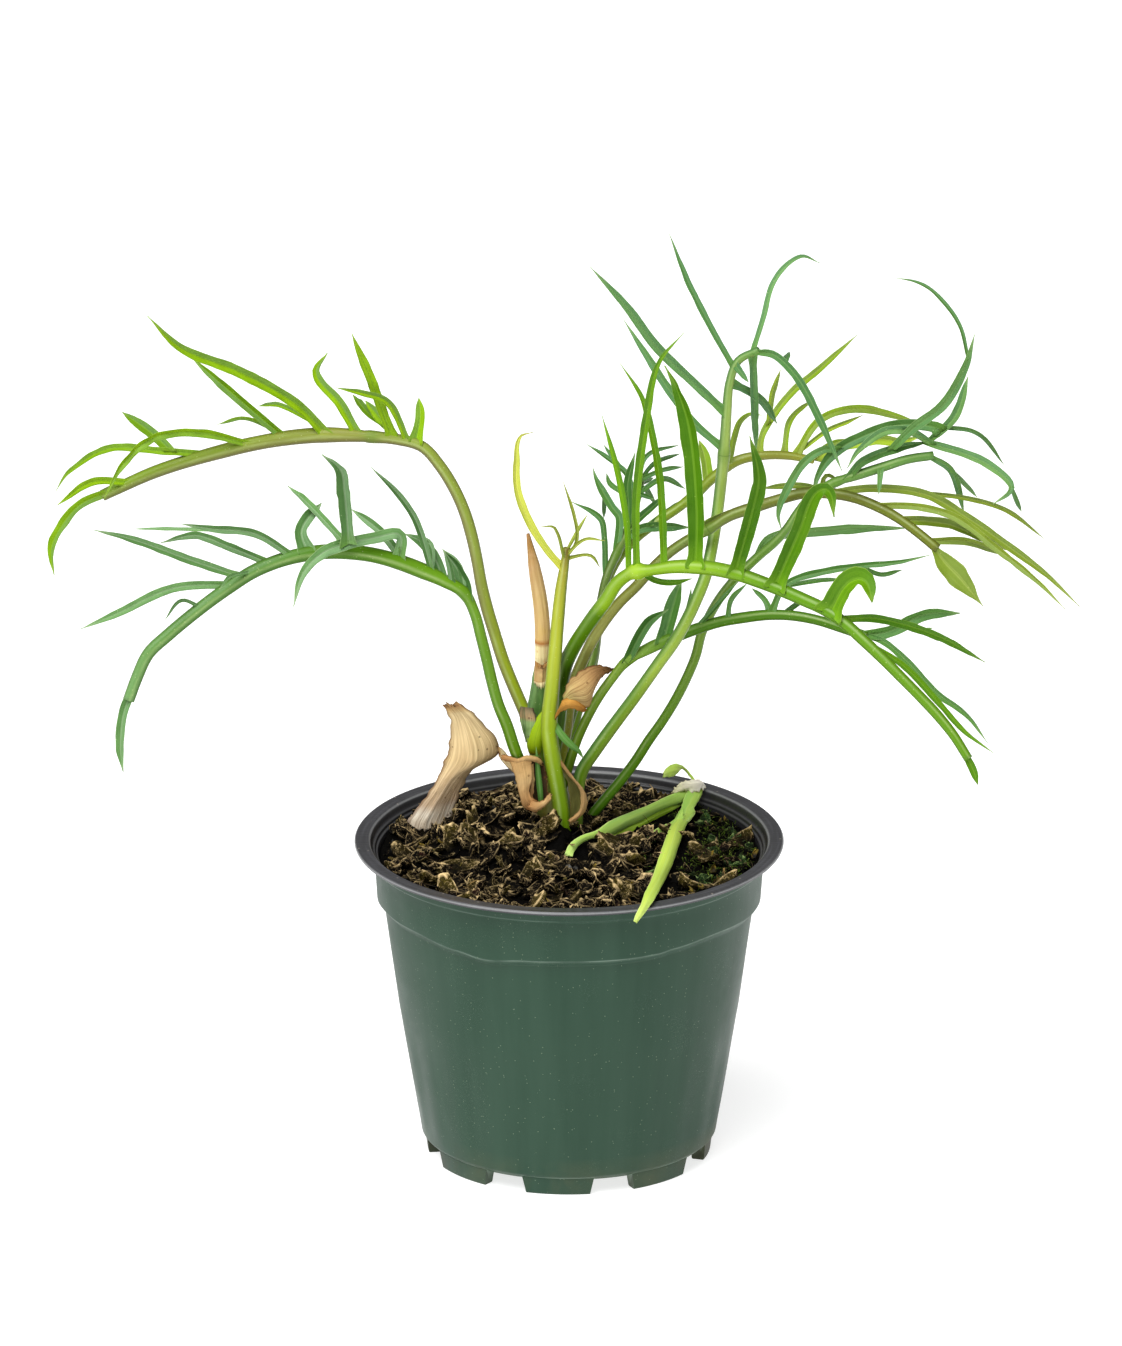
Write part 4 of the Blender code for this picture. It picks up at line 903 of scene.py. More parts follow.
frondLooks = {
    "frond_left_upper": {
        "slot": "bright_leaf",
        "blade": {**freshBlade, "bright": (156, 198, 14), "deep": (78, 118, 0), "mid": (104, 144, 0),
                  "halfSheenAndShade": (104, 142, 76), "foot": (128, 158, 30)},
        "stalk": [(0.0, (176, 200, 14)), (0.14, (158, 180, 24)), (0.3, (138, 158, 58)),
                  (0.5, (134, 156, 52)), (0.62, (136, 146, 34)), (0.75, (124, 146, 20)),
                  (1.0, (112, 152, 6))],
        "streakColour": (118, 112, 62), "streak": 0.36, "leftPaintedLightShare": 0.6, "left": (112, 96, 62),
        "halves": {0: 0.85, 6: 0.5, 14: 0.1}, "tones": {5: 0.9, 6: 1.0, 8: 1.0, 9: 1.0, 10: 1.0},
        "wide": {7: 1.6, 8: 1.3, 9: 1.9, 10: 1.3}, "wing": 0.5, "ripple": 1.6,
    },
    "frond_left_lower": {
        "slot": "dark_leaf", "blade": blueBlade,
        "stalk": [(0.0, (104, 142, 4)), (0.2, (100, 146, 8)), (0.42, (106, 152, 18)), (0.55, (78, 124, 4)),
                  (0.63, (82, 126, 34)), (0.72, (86, 128, 62)), (0.88, (94, 136, 72)),
                  (0.94, (108, 148, 88)), (1.0, (112, 152, 94))],
        "streakColour": (80, 126, 24), "leftPaintedLightShare": 0.3, "left": (66, 112, 8), "ripple": 1.5,
        "extra": [(5.0, 3, (-36.4, 224), (-40, 230), (-43.5, 237), (-48, 243)),
                  (4.4, 5, (-47, 232), (-51, 239), (-56, 246), (-62.5, 249.5))],
        "tones": {17: 0.0, 18: 0.1, 3: 0.2, 4: 0.15, 5: 0.2}, "wide": {7: 1.15, 2: 1.1}, "wing": 0.5,
    },
    "frond_right_front": {
        "slot": "bright_leaf", "blade": {**freshBlade, "bright": (118, 166, 10), "halfSheenAndShade": (74, 122, 22)},
        "stalk": [(0.0, (66, 100, 0)), (0.1, (34, 60, 0)), (0.2, (50, 86, 0)), (0.295, (80, 120, 0)),
                  (0.318, (140, 178, 28)), (0.5, (138, 178, 36)), (0.62, (90, 138, 12)),
                  (1.0, (88, 134, 20))],
        "streakColour": (104, 152, 10), "leftPaintedLightShare": 0.35, "left": (60, 98, 0),
        "swell": 0.5, "broad": 0.16, "jointShift": 7, "jointColour": (160, 196, 50), "jointShare": 0.75,
        "wing": 0.36, "halves": {4: 0.95, 5: 0.9, 6: 0.95, 7: 0.85},
        "tones": {1: 1.0, 2: 0.9, 3: 0.8, 4: 0.2, 5: 0.1, 6: 0.4, 7: 0.9, 10: 0.2},
        "wide": {2: 1.3, 3: 1.12, 4: 1.08, 6: 1.2, 7: 1.35},
        "extra": [(2.4, 1, (27, 233), (33, 230.6), (40, 229.8), (47, 231.4))],
    },
    "frond_right_low": {
        "slot": "dark_leaf", "blade": {**darkBlade, "halfSheenAndShade": (100, 142, 88)},
        "stalk": [(0.0, (106, 142, 6)), (0.2, (124, 158, 40)), (0.36, (142, 178, 66)),
                  (0.43, (138, 178, 68)), (0.52, (66, 114, 2)), (1.0, (66, 110, 4))],
        "streakColour": (84, 126, 14), "leftPaintedLightShare": 0.2, "left": (80, 122, 14), "wing": 0.34,
        "wide": {1: 1.35, 2: 1.3, 3: 1.2}, "tones": {2: 0.6},
    },
    "frond_tall": {
        "slot": "dark_leaf",
        "blade": {**darkBlade, "bright": (118, 166, 98), "deep": (58, 106, 50), "mid": (88, 138, 68)},
        "stalk": [(0.0, (94, 132, 10)), (0.15, (98, 136, 14)), (0.31, (118, 150, 34)),
                  (0.38, (156, 182, 60)), (0.6, (124, 158, 44)), (0.78, (176, 198, 100)),
                  (0.88, (150, 180, 90)), (1.0, (96, 140, 74))],
        "streakColour": (104, 144, 46), "leftPaintedLightShare": 0.75, "left": (62, 112, 66), "rightPaintedLightShare": 0.4,
        "right": (176, 198, 96), "wing": 0.0,
    },
    "frond_olive": {
        "slot": "olive_leaf", "blade": oliveBlade,
        "stalk": [(0.0, (176, 178, 50)), (0.14, (150, 152, 56)), (0.26, (178, 180, 96)),
                  (0.38, (132, 138, 56)), (0.52, (112, 140, 60)), (0.7, (112, 124, 40)),
                  (1.0, (104, 118, 28))],
        "streakColour": (104, 96, 40), "streak": 0.4, "leftPaintedLightShare": 0.55, "left": (92, 106, 20),
        "tones": {0: 0.3, 8: 0.4}, "spindle": 0, "wide": {0: 1.05, 3: 0.8},
        "extra": [(5.2, 1, (46, 247.8), (52, 252), (59, 256.4), (66, 260.4))],
    },
    "frond_far_right": {
        "slot": "dark_leaf", "blade": {**darkBlade, "bright": (126, 170, 98), "mid": (86, 136, 56)},
        "stalk": [(0.0, (84, 140, 14)), (0.2, (96, 142, 22)), (0.4, (114, 148, 40)), (0.7, (104, 144, 58)),
                  (1.0, (100, 144, 72))],
        "streakColour": (74, 116, 24), "leftPaintedLightShare": 0.35, "left": (50, 92, 14), "wide": {6: 1.25, 9: 1.2},
        "tones": {12: 1.0, 9: 0.3},
    },
    "frond_back_right": {
        "slot": "olive_leaf",
        "blade": {**oliveBlade, "bright": (174, 200, 52), "mid": (146, 178, 40), "deep": (106, 142, 20)},
        "stalk": [(0.0, (80, 118, 14)), (0.2, (96, 134, 20)), (0.5, (108, 136, 22)), (0.75, (122, 146, 36)),
                  (0.92, (142, 140, 54)), (1.0, (150, 154, 44))],
        "streakColour": (126, 140, 34), "leftPaintedLightShare": 0.2, "left": (76, 110, 20),
        "tones": {0: 0.0, 8: 1.0}, "wide": {0: 0.8},
        "extra": [(4.4, 4, (94, 280), (103, 285.8), (111, 287.6), (119, 288.8), (127, 288), (136, 290))],
    },
    "frond_back_left": {
        "slot": "dark_leaf", "blade": {**darkBlade, "bright": (84, 130, 60)},
        "stalk": [(0.0, (80, 114, 28)), (0.3, (92, 122, 40)), (0.7, (94, 120, 54)), (1.0, (98, 124, 56))],
        "streakColour": (76, 88, 34), "leftPaintedLightShare": 0.3, "left": (62, 88, 30), "wide": {1: 1.15, 3: 1.15},
        "extra": [(3.8, 6, (21, 248.5), (28, 252.3), (37, 253), (46.5, 252.6)),
                  (3.0, 9, (21, 250.5), (27, 256), (33.5, 262), (37, 266)),
                  (2.4, 12, (25.5, 262), (28.5, 268.4), (33.5, 262.4)),
                  (2.6, 10, (30, 252.4), (37, 258.2), (45, 264.2)),
                  (3.4, 4, (22, 251), (23, 261), (22.6, 270), (25.4, 283)),
                  (2.2, 8, (22.6, 266), (16, 270), (14.4, 274.6))],
    },
}


def stalkLine(frond):
    # the CAD model's own midline and widths of petiole and rachis
    path = curveThrough(placed(frond["petiole"] + frond["rachis"]), 10)
    start = place(*frond["rachis"][0])
    first = min(range(len(path)), key=lambda index: (path[index] - start).length)
    petioleWidth, rachisWidth, endWidth = frond["widths"]
    widths = [petioleWidth + (rachisWidth - petioleWidth) * index / first for index in range(first)]
    last = len(path) - 1
    narrowing = endWidth - rachisWidth
    onRachis = range(first, last + 1)
    widths += [rachisWidth + narrowing * (index - first) / (last - first) for index in onRachis]
    return path, widths, first / last


def addLobes(piece, lobes, lines, look):
    look = {"extra": [], "wide": {}, "tones": {}, "halves": {}, "ripple": 1, **look}
    for index, (width, back, *spots) in enumerate(lobes + look["extra"]):
        width *= look["wide"].get(index, 1)
        root, rootAhead = nearestRoot(spots[0], lines)
        places = [root]
        reach = 0
        spans = [math.dist(a, b) for a, b in zip(spots, spots[1:])]
        for spot, span in zip(spots[1:], spans):
            reach += span
            lean = plantShape["spread"] * back * (reach / sum(spans)) ** plantShape["leanCurve"]
            places.append(place(spot[0], root.y + lean, spot[1]))
        lines.append(curveThrough(places, 1.5))
        if index == look.get("dry"):
            continue
        bladeLook = {
            "seed": index * 1.37 + look["seed"], "roll": plantShape["twist"] * math.sin(2.4 * index + 1),
            "tone": look["tones"].get(index, 0.5 + 0.45 * math.sin(index * 2.17 + look["seed"])),
            "halves": look["halves"].get(index, 0.5 + 0.4 * math.sin(index * 3.3 + 0.7)),
            "ripple": look["ripple"], "spindle": index == look.get("spindle"),
        }
        addBlade(piece, curveThrough(places, plantShape["bladeStep"], 8), width, rootAhead, bladeLook)


def makeFrond(name, frond, look):
    coarse, widths, joint = stalkLine(frond)
    path = curveThrough(coarse, plantShape["stalkStep"])
    slope = plantShape["jointSlope"]
    fineWidths = []
    for index in range(len(path)):
        share = index / (len(path) - 1)
        wing = 1 + look.get("wing", plantShape["wing"]) * min(1, max(0, (share - joint) * slope))
        wing += look.get("broad", 0) * min(1, max(0, (joint - share) * slope))
        fineWidths.append(between(widths, share) * wing)
    piece = newPiece()
    swell, shift = look.get("swell", 0.16), look.get("jointShift", 0)
    stalkLook = {"seed": look["seed"], "joint": joint, "depth": 0.85, "swell": swell, "shift": shift}
    addStalk(piece, path, fineWidths, stalkLook)
    addLobes(piece, frond["lobes"], [curveThrough(coarse, 1.5)], look)
    finishes = [bladeFinish(name + "_blades", look["blade"]), stalkFinish(name + "_stalk", look)]
    addPiece(name + "_leaf", piece, finishes, look["slot"], name)


for number, (name, frond) in enumerate(fronds.items()):
    makeFrond(name, frond, {"seed": number * 2.9, **frondLooks[name]})
print("fronds done")


# The youngest leaf: a fat stalk with a few blades that have begun to open, and a torn papery collar
frontLook = {
    "blade": {"bright": (216, 218, 92), "deep": (96, 118, 30), "mid": (150, 170, 54),
              "halfSheenAndShade": (176, 190, 80), "under": (158, 178, 62), "rib": (222, 216, 130),
              "edge": (220, 208, 120), "foot": (196, 192, 60), "ribShare": 0.3},
    "stalk": [(0.0, (86, 128, 0)), (0.2, (112, 152, 2)), (0.4, (156, 184, 16)), (0.6, (174, 186, 44)),
              (0.8, (168, 170, 52)), (0.93, (160, 150, 58)), (1.0, (96, 54, 24))],
    "streakColour": (128, 146, 20), "leftPaintedLightShare": 0.25, "left": (186, 202, 70), "rightPaintedLightShare": 0.35,
    "right": (108, 146, 10),
}
collarLook = {
    "along": [(0.0, (196, 192, 110)), (0.22, (208, 184, 122)), (0.55, (194, 152, 100)),
              (0.8, (140, 98, 60)), (1.0, (88, 56, 34))],
    "vein": (112, 74, 38), "stain": (160, 116, 70), "under": (160, 118, 72), "edge": (96, 60, 28),
    "veinShare": 0.65,
}
lipLook = {
    "along": [(0.0, (196, 138, 54)), (0.5, (220, 164, 78)), (1.0, (160, 104, 38))],
    "vein": (150, 92, 30), "stain": (150, 94, 36), "under": (110, 68, 28), "edge": (84, 50, 20),
}
collarSheets = [
    {
        "left": [(-2.6, -9.6, 182), (-0.6, -9.4, 189.1), (3.5, -7.5, 193.2), (7.6, -5, 195.7),
                 (12, -1, 196.2), (16.9, 4, 194.9)],
        "right": [(-1.5, -9.8, 181), (2.8, -9.6, 181), (7.3, -7.5, 179.1), (9.3, -4, 185.5),
                  (11.7, 0, 190.6), (16.6, 4, 194.2)],
        "bulge": [0.05, 0.22, 0.28, 0.2, 0.1], "seed": 4.2, "rows": 36, "columns": 12,
    },
    {
        "left": [(-4.2, -8.6, 177.5), (-3.2, -9.6, 180.2), (-1.9, -10, 182.6), (2.8, -9.8, 182.4),
                 (7.0, -8, 179.6)],
        "right": [(-5.2, -8.4, 174.4), (-2.8, -9.8, 177.4), (1.1, -10.2, 178.8), (4, -9.6, 177.4),
                  (6.2, -8.2, 177.4)],
        "bulge": [0.1, 0.3, 0.3, 0.2], "seed": 8.8, "rows": 24, "columns": 8, "rag": 0.3,
    },
]


def makeFrontStalk():
    coarse, path, widths = evenStalk(frontStalk, 8, 1.6)
    piece = newPiece()
    addStalk(piece, path, widths, {"seed": 31, "ridge": 0.03, "depth": 0.9}, sides=24)
    tones = {0: 1.0, 1: 0.15, 2: 0.1, 3: 0.2, 4: 0.1, 5: 0.1}
    look = {"seed": 31, "dry": len(frontStalk["blades"]) - 1, "tones": tones, "halves": {0: 0.5}}
    addLobes(piece, frontStalk["blades"], [curveThrough(coarse, 1.5)], look)
    for sheet, finish in zip(collarSheets, (2, 3)):
        addSheet(piece, sheet, finish)
    finishes = [
        bladeFinish("young_blades", frontLook["blade"]), stalkFinish("young_stalk", frontLook),
        dryFinish("collar", collarLook), dryFinish("collar_lip", lipLook),
    ]
    addPiece("front_stalk_leaf", piece, finishes, "young_leaf", "front_stalk")


makeFrontStalk()
print("front stalk done")


# Crown: the stem with its scars and buds, the rolled leaf's sheath and the dry sheaths round it
stemLook = {
    "stalk": [(0.0, (110, 76, 36)), (0.3, (150, 120, 48)), (0.42, (176, 170, 50)), (0.58, (150, 176, 30)),
              (0.7, (116, 164, 72)), (0.86, (130, 180, 92)), (1.0, (160, 200, 116))],
    "streakColour": (44, 84, 36), "streak": 0.6, "leftPaintedLightShare": 0.2, "left": (120, 150, 70),
}
spikeLook = {
    "along": [(0.0, (255, 248, 190)), (0.16, (252, 236, 176)), (0.19, (178, 106, 42)),
              (0.22, (228, 194, 124)), (0.6, (206, 178, 116)), (1.0, (158, 114, 60))],
    "vein": (160, 112, 40), "veinShare": 0.6, "stain": (222, 182, 150), "under": (220, 188, 134),
    "edge": (224, 184, 120), "edgeWidth": 0.01, "lines": 16.0,
}
budLook = {
    "bright": (170, 196, 24), "deep": (116, 152, 6), "mid": (146, 176, 12), "halfSheenAndShade": (120, 150, 14),
    "under": (150, 174, 20), "rib": (180, 202, 50), "edge": (160, 160, 40), "foot": (196, 124, 34),
    "ribShare": 0.2,
}
scarLook = {
    "along": [(0.0, (110, 130, 72)), (0.3, (132, 166, 92)), (0.62, (146, 176, 106)),
              (0.72, (186, 146, 104)), (1.0, (118, 90, 72))],
    "vein": (40, 74, 34), "stain": (170, 178, 140), "under": (90, 80, 50), "edge": (74, 52, 44),
    "veinShare": 0.8, "lines": 9.0,
}
scarSheet = {
    "left": [(-16.4, -1.5, 166.0), (-18.0, -1.5, 171.5), (-18.9, -0.5, 176.5), (-18.4, 0.5, 179.4)],
    "right": [(-15.2, -2.4, 164.4), (-13.2, -3.0, 168.6), (-12.3, -2.6, 174.2), (-13.8, -1.0, 178.6)],
    "bulge": [0.1, 0.25, 0.2], "seed": 2.2, "rows": 20, "columns": 10, "thick": 1.4, "rag": 0.2,
    "jagged": 0.5,
}
crownBlades = {
    "bud": {"width": 6.4, "thick": 3.4,
            "places": [(-13.2, -0.5, 160.5), (-13.0, -2.8, 166), (-11.4, -3.2, 172), (-9.4, -1.8, 178.5)]},
    "low_bud": {"width": 2.4, "thick": 1.8,
                "places": [(-10.6, -5.5, 139), (-11, -5.6, 144), (-11.6, -5, 150), (-12.6, -4, 163)]},
    "leaflet": {"width": 3.0, "thick": 0.6,
                "places": [(-5.6, -5, 173), (-3.2, -7.6, 168.4), (0.6, -8.2, 164), (3.6, -7.2, 161.4),
                           (5.6, -6, 158.2)]},
}
sheathLooks = {
    "sheath_left": {
        "along": [(0.0, (120, 72, 32)), (0.035, (216, 180, 120)), (0.07, (250, 228, 176)),
                  (0.4, (246, 218, 162)), (0.6, (232, 206, 164)), (0.8, (214, 190, 162)),
                  (0.88, (255, 246, 226)), (1.0, (255, 240, 214))],
        "vein": (146, 104, 56), "stain": (222, 188, 138), "under": (212, 182, 128), "edge": (96, 58, 26),
        "underShare": 0.3, "edgeWidth": 0.08, "veinShare": 0.56,
    },
    "sheath_front": {
        "along": [(0.0, (196, 138, 84)), (0.2, (208, 160, 104)), (0.6, (226, 190, 132)),
                  (1.0, (216, 176, 116))],
        # its undersides, which line the cup's inside, are painted near black: partly the sheath's own brown
        # and partly painted shade
        "vein": (150, 106, 58), "stain": (180, 132, 80), "under": (44, 30, 15), "edge": (120, 78, 38),
        "underShare": 0.95,
    },
    "sheath_right": {
        "along": [(0.0, (176, 136, 84)), (0.5, (216, 178, 122)), (1.0, (206, 164, 108))],
        "vein": (140, 100, 56), "stain": (170, 130, 80), "under": (84, 92, 40), "edge": (104, 70, 36),
        "underShare": 0.9,
    },
}
sheathSheets = {
    "sheath_left": [
        {  # the big fan, from its top edge down to its torn foot in the soil
            "left": [(-48.2, 8, 179.8), (-45.6, 9, 174.6), (-46.0, 10, 163.6), (-49.4, 12, 153),
                     (-54.4, 14, 143.6), (-61.6, 15.5, 133.4), (-62.6, 16, 129.4)],
            "right": [(-41.6, 6, 180.4), (-34.4, 7, 174.6), (-26.8, 9, 161.6), (-36.8, 11, 153.4),
                      (-41.2, 13.5, 146.4), (-44.4, 15.5, 136), (-46, 16, 130)],
            "bulge": [0.06, 0.16, 0.24, 0.2, 0.16, 0.12], "seed": 5.5, "rows": 60, "columns": 26,
            "crease": 0.35, "jagged": 2.2, "rag": 0.5,
        },
        {  # the fold that joins it to the crown
            "left": [(-27.4, 6.4, 163.4), (-24.8, 6.5, 161.4), (-21.6, 6.6, 156.8), (-17.0, 6, 151.6),
                     (-12.5, 6, 146)],
            "right": [(-26.8, 5.4, 158.6), (-23.4, 5, 154.4), (-20.2, 4.4, 151.8), (-15.8, 4.4, 147.6),
                      (-12.5, 5, 143)],
            "bulge": [0.1, 0.25, 0.3, 0.2], "seed": 6.6, "rows": 24, "columns": 10, "rag": 0.2,
        },
    ],
    "sheath_front": [
        {  # the lit near wall of the cup
            "left": [(-13.2, -8, 136.8), (-17.3, -8.6, 138.6), (-19.1, -8.6, 143.5), (-20.3, -8.2, 149.4),
                     (-22.8, -7, 157.6)],
            "right": [(-12.2, -9, 141.0), (-14.4, -9.4, 142.8), (-15.2, -9.2, 145.6), (-14.0, -8.6, 150.6),
                      (-14.4, -7, 157.2)],
            "bulge": [0.1, 0.24, 0.26, 0.2], "seed": 7.1, "rows": 36, "columns": 12, "crease": 0.3,
            "rag": 0.25,
        },
        {  # its rolled rim
            "left": [(-25.2, -5, 160.0), (-22.6, -6.4, 159.4), (-19.6, -7.2, 158.4), (-16.2, -7, 159.6),
                     (-12.4, -5.6, 159.0), (-10.2, -4, 157)],
            "right": [(-24.8, -5.6, 157.2), (-21.8, -7.2, 156.8), (-19, -8, 155.8), (-16.2, -7.8, 157),
                      (-12.8, -6.2, 156.8), (-10.8, -4.6, 155.6)],
            "bulge": [0.3, 0.5, 0.5, 0.4, 0.3], "seed": 7.9, "rows": 30, "columns": 8, "crease": 0.15,
            "rag": 0.15,
        },
        {  # its lower lip
            "left": [(-15.6, -9, 142), (-12.8, -9.8, 140.9), (-10.0, -9.6, 141.4), (-7.4, -8.6, 144.2)],
            "right": [(-15.2, -8.8, 137.2), (-12.9, -9.6, 136.5), (-10.2, -9.4, 138.0),
                      (-6.8, -8.4, 141.6)],
            "bulge": [0.2, 0.35, 0.35, 0.2], "seed": 8.3, "rows": 24, "columns": 8, "rag": 0.3,
        },
        {  # the inside of its far wall, painted dark: partly the sheath's own brown and partly painted shade
            "left": [(-17.6, -6, 139), (-18.2, -5, 146), (-19.2, -4.4, 152), (-20.6, -4.2, 158)],
            "right": [(-7.8, -5, 140), (-8.2, -4, 147), (-8.8, -3.4, 153), (-10.4, -3.4, 158)],
            "bulge": [-0.1, -0.15, -0.1], "seed": 9.4, "rows": 26, "columns": 12, "shade": True,
        },
        {  # a fold down its inside
            "left": [(-15.2, -6.4, 142), (-14.9, -6, 148), (-15.4, -5.4, 156)],
            "right": [(-13.8, -6.4, 142), (-13.2, -6, 148), (-13.6, -5.4, 156)],
            "bulge": [0.3, 0.4, 0.3], "seed": 9.9, "rows": 20, "columns": 6, "rag": 0.2,
        },
    ],
    "sheath_right": [
        {  # its olive hollow
            "left": [(0.6, -5, 133.2), (0.4, -5, 140), (-0.6, -4.6, 148), (-3.0, -4, 155)],
            "right": [(3.4, -4.6, 134), (6.0, -5, 139), (5.0, -5.2, 145), (-1.6, -4.4, 155.6)],
            "bulge": [-0.12, -0.3, -0.25, -0.1], "seed": 3.3, "rows": 28, "columns": 12, "rag": 0.3,
            "shade": True,
        },
        {
            "left": [(-4.4, -4.6, 157.6), (-0.6, -5.6, 151.6), (3.6, -6.4, 146.4), (4.4, -6.6, 142),
                     (4.0, -6.4, 137.4), (-0.2, -6, 133.4)],
            "right": [(-2.8, -4.6, 157.2), (1.8, -5.6, 150.8), (5.8, -6.4, 145.4), (7.0, -6.6, 139.6),
                      (4.6, -6.4, 134.6), (0, -6, 131.4)],
            "bulge": [0.2, 0.5, 0.5, 0.5, 0.3], "seed": 3.7, "rows": 36, "columns": 8, "rag": 0.25,
        },
    ],
}


def makeStem():
    _, path, widths = evenStalk(stemShape, 6, 1.0)
    for index in range(len(path)):
        away = (index % stemShape["ringStep"] - stemShape["ringPlace"]) / stemShape["ringReach"]
        widths[index] *= 1 + stemShape["ringRise"] * math.exp(-away ** 2)
    piece = newPiece()
    addStalk(piece, path, widths, {"seed": 11, "ridge": 0.04, "depth": 1.0}, sides=32)
    addSheet(piece, scarSheet, 2)
    for number, blade in enumerate(crownBlades.values()):
        line = curveThrough(placed(blade["places"]), 1.0, 14)
        addBudBlade(piece, line, blade["width"], blade["thick"], number)
    finishes = [
        bladeFinish("buds", budLook), stalkFinish("stem_skin", stemLook), dryFinish("leaf_scar", scarLook),
        bladeFinish("dark_leaflet", darkBlade),
    ]
    addPiece("stem_crown", piece, finishes, "stem", "stem")


def addBudBlade(piece, path, width, thick, number):
    # a closed bud or leaflet: an oval section that swells and runs to a point
    last = len(path) - 1
    sides = 16
    rings, tones = [], []
    for index, (centre, ahead) in enumerate(zip(path, tangentsOf(path))):
        share = index / last
        side = ahead.cross(toViewer).normalized()
        face = side.cross(ahead)
        swell = max(0.06, math.sin(math.pi * min(1, 0.22 + 0.78 * share)) ** 0.8)
        ring = []
        for corner in range(sides):
            turn = 2 * math.pi * corner / sides
            wide, deep = math.cos(turn) * width / 2 * swell, math.sin(turn) * thick / 2 * swell
            ring.append(centre + side * wide + face * deep)
        rings.append(ring)
        tones.append([(0.5 + 0.2 * number, 0.0, share, 0.5)] * sides)
    across = [abs(1 - 2 * corner / sides) for corner in range(sides + 1)]
    addLoft(piece, rings, across, [index * 0.1 for index in range(last + 1)], tones, 3 if number else 0)


def makeSpike():
    _, path, widths = evenStalk(spikeSheath, 6, 0.9)
    for index in range(len(path)):
        share = index / (len(path) - 1)
        away = (share - spikeSheath["ringPlace"]) / spikeSheath["ringReach"]
        widths[index] *= 1 + spikeSheath["ringRise"] * math.exp(-away ** 2)
    piece = newPiece()
    addStalk(piece, path, widths, {"seed": 21, "ridge": 0.035, "depth": 0.95}, 0, 28)
    sleeve = {
        "left": [(-13.5, 4.2, 188.6), (-13.4, 4.0, 193), (-13.1, 3.6, 197)],
        "right": [(-7.2, 4.2, 189.8), (-7.4, 4.0, 193), (-7.4, 3.6, 197)],
        "bulge": [0.5, 0.5], "seed": 1.7, "rows": 12, "columns": 18, "jagged": 1.6, "rag": 0.1,
    }
    addSheet(piece, sleeve)
    addPiece("spike_sheath_skin", piece, [dryFinish("spike_skin", spikeLook)], "dry_sheath", "spike_sheath")


def makeSheaths():
    for name, sheets in sheathSheets.items():
        piece = newPiece()
        for sheet in sheets:
            addSheet(piece, sheet)
        addPiece(name + "_skin", piece, [dryFinish(name + "_paper", sheathLooks[name])], "dry_sheath", name)


makeStem()
makeSpike()
makeSheaths()
print("crown done")

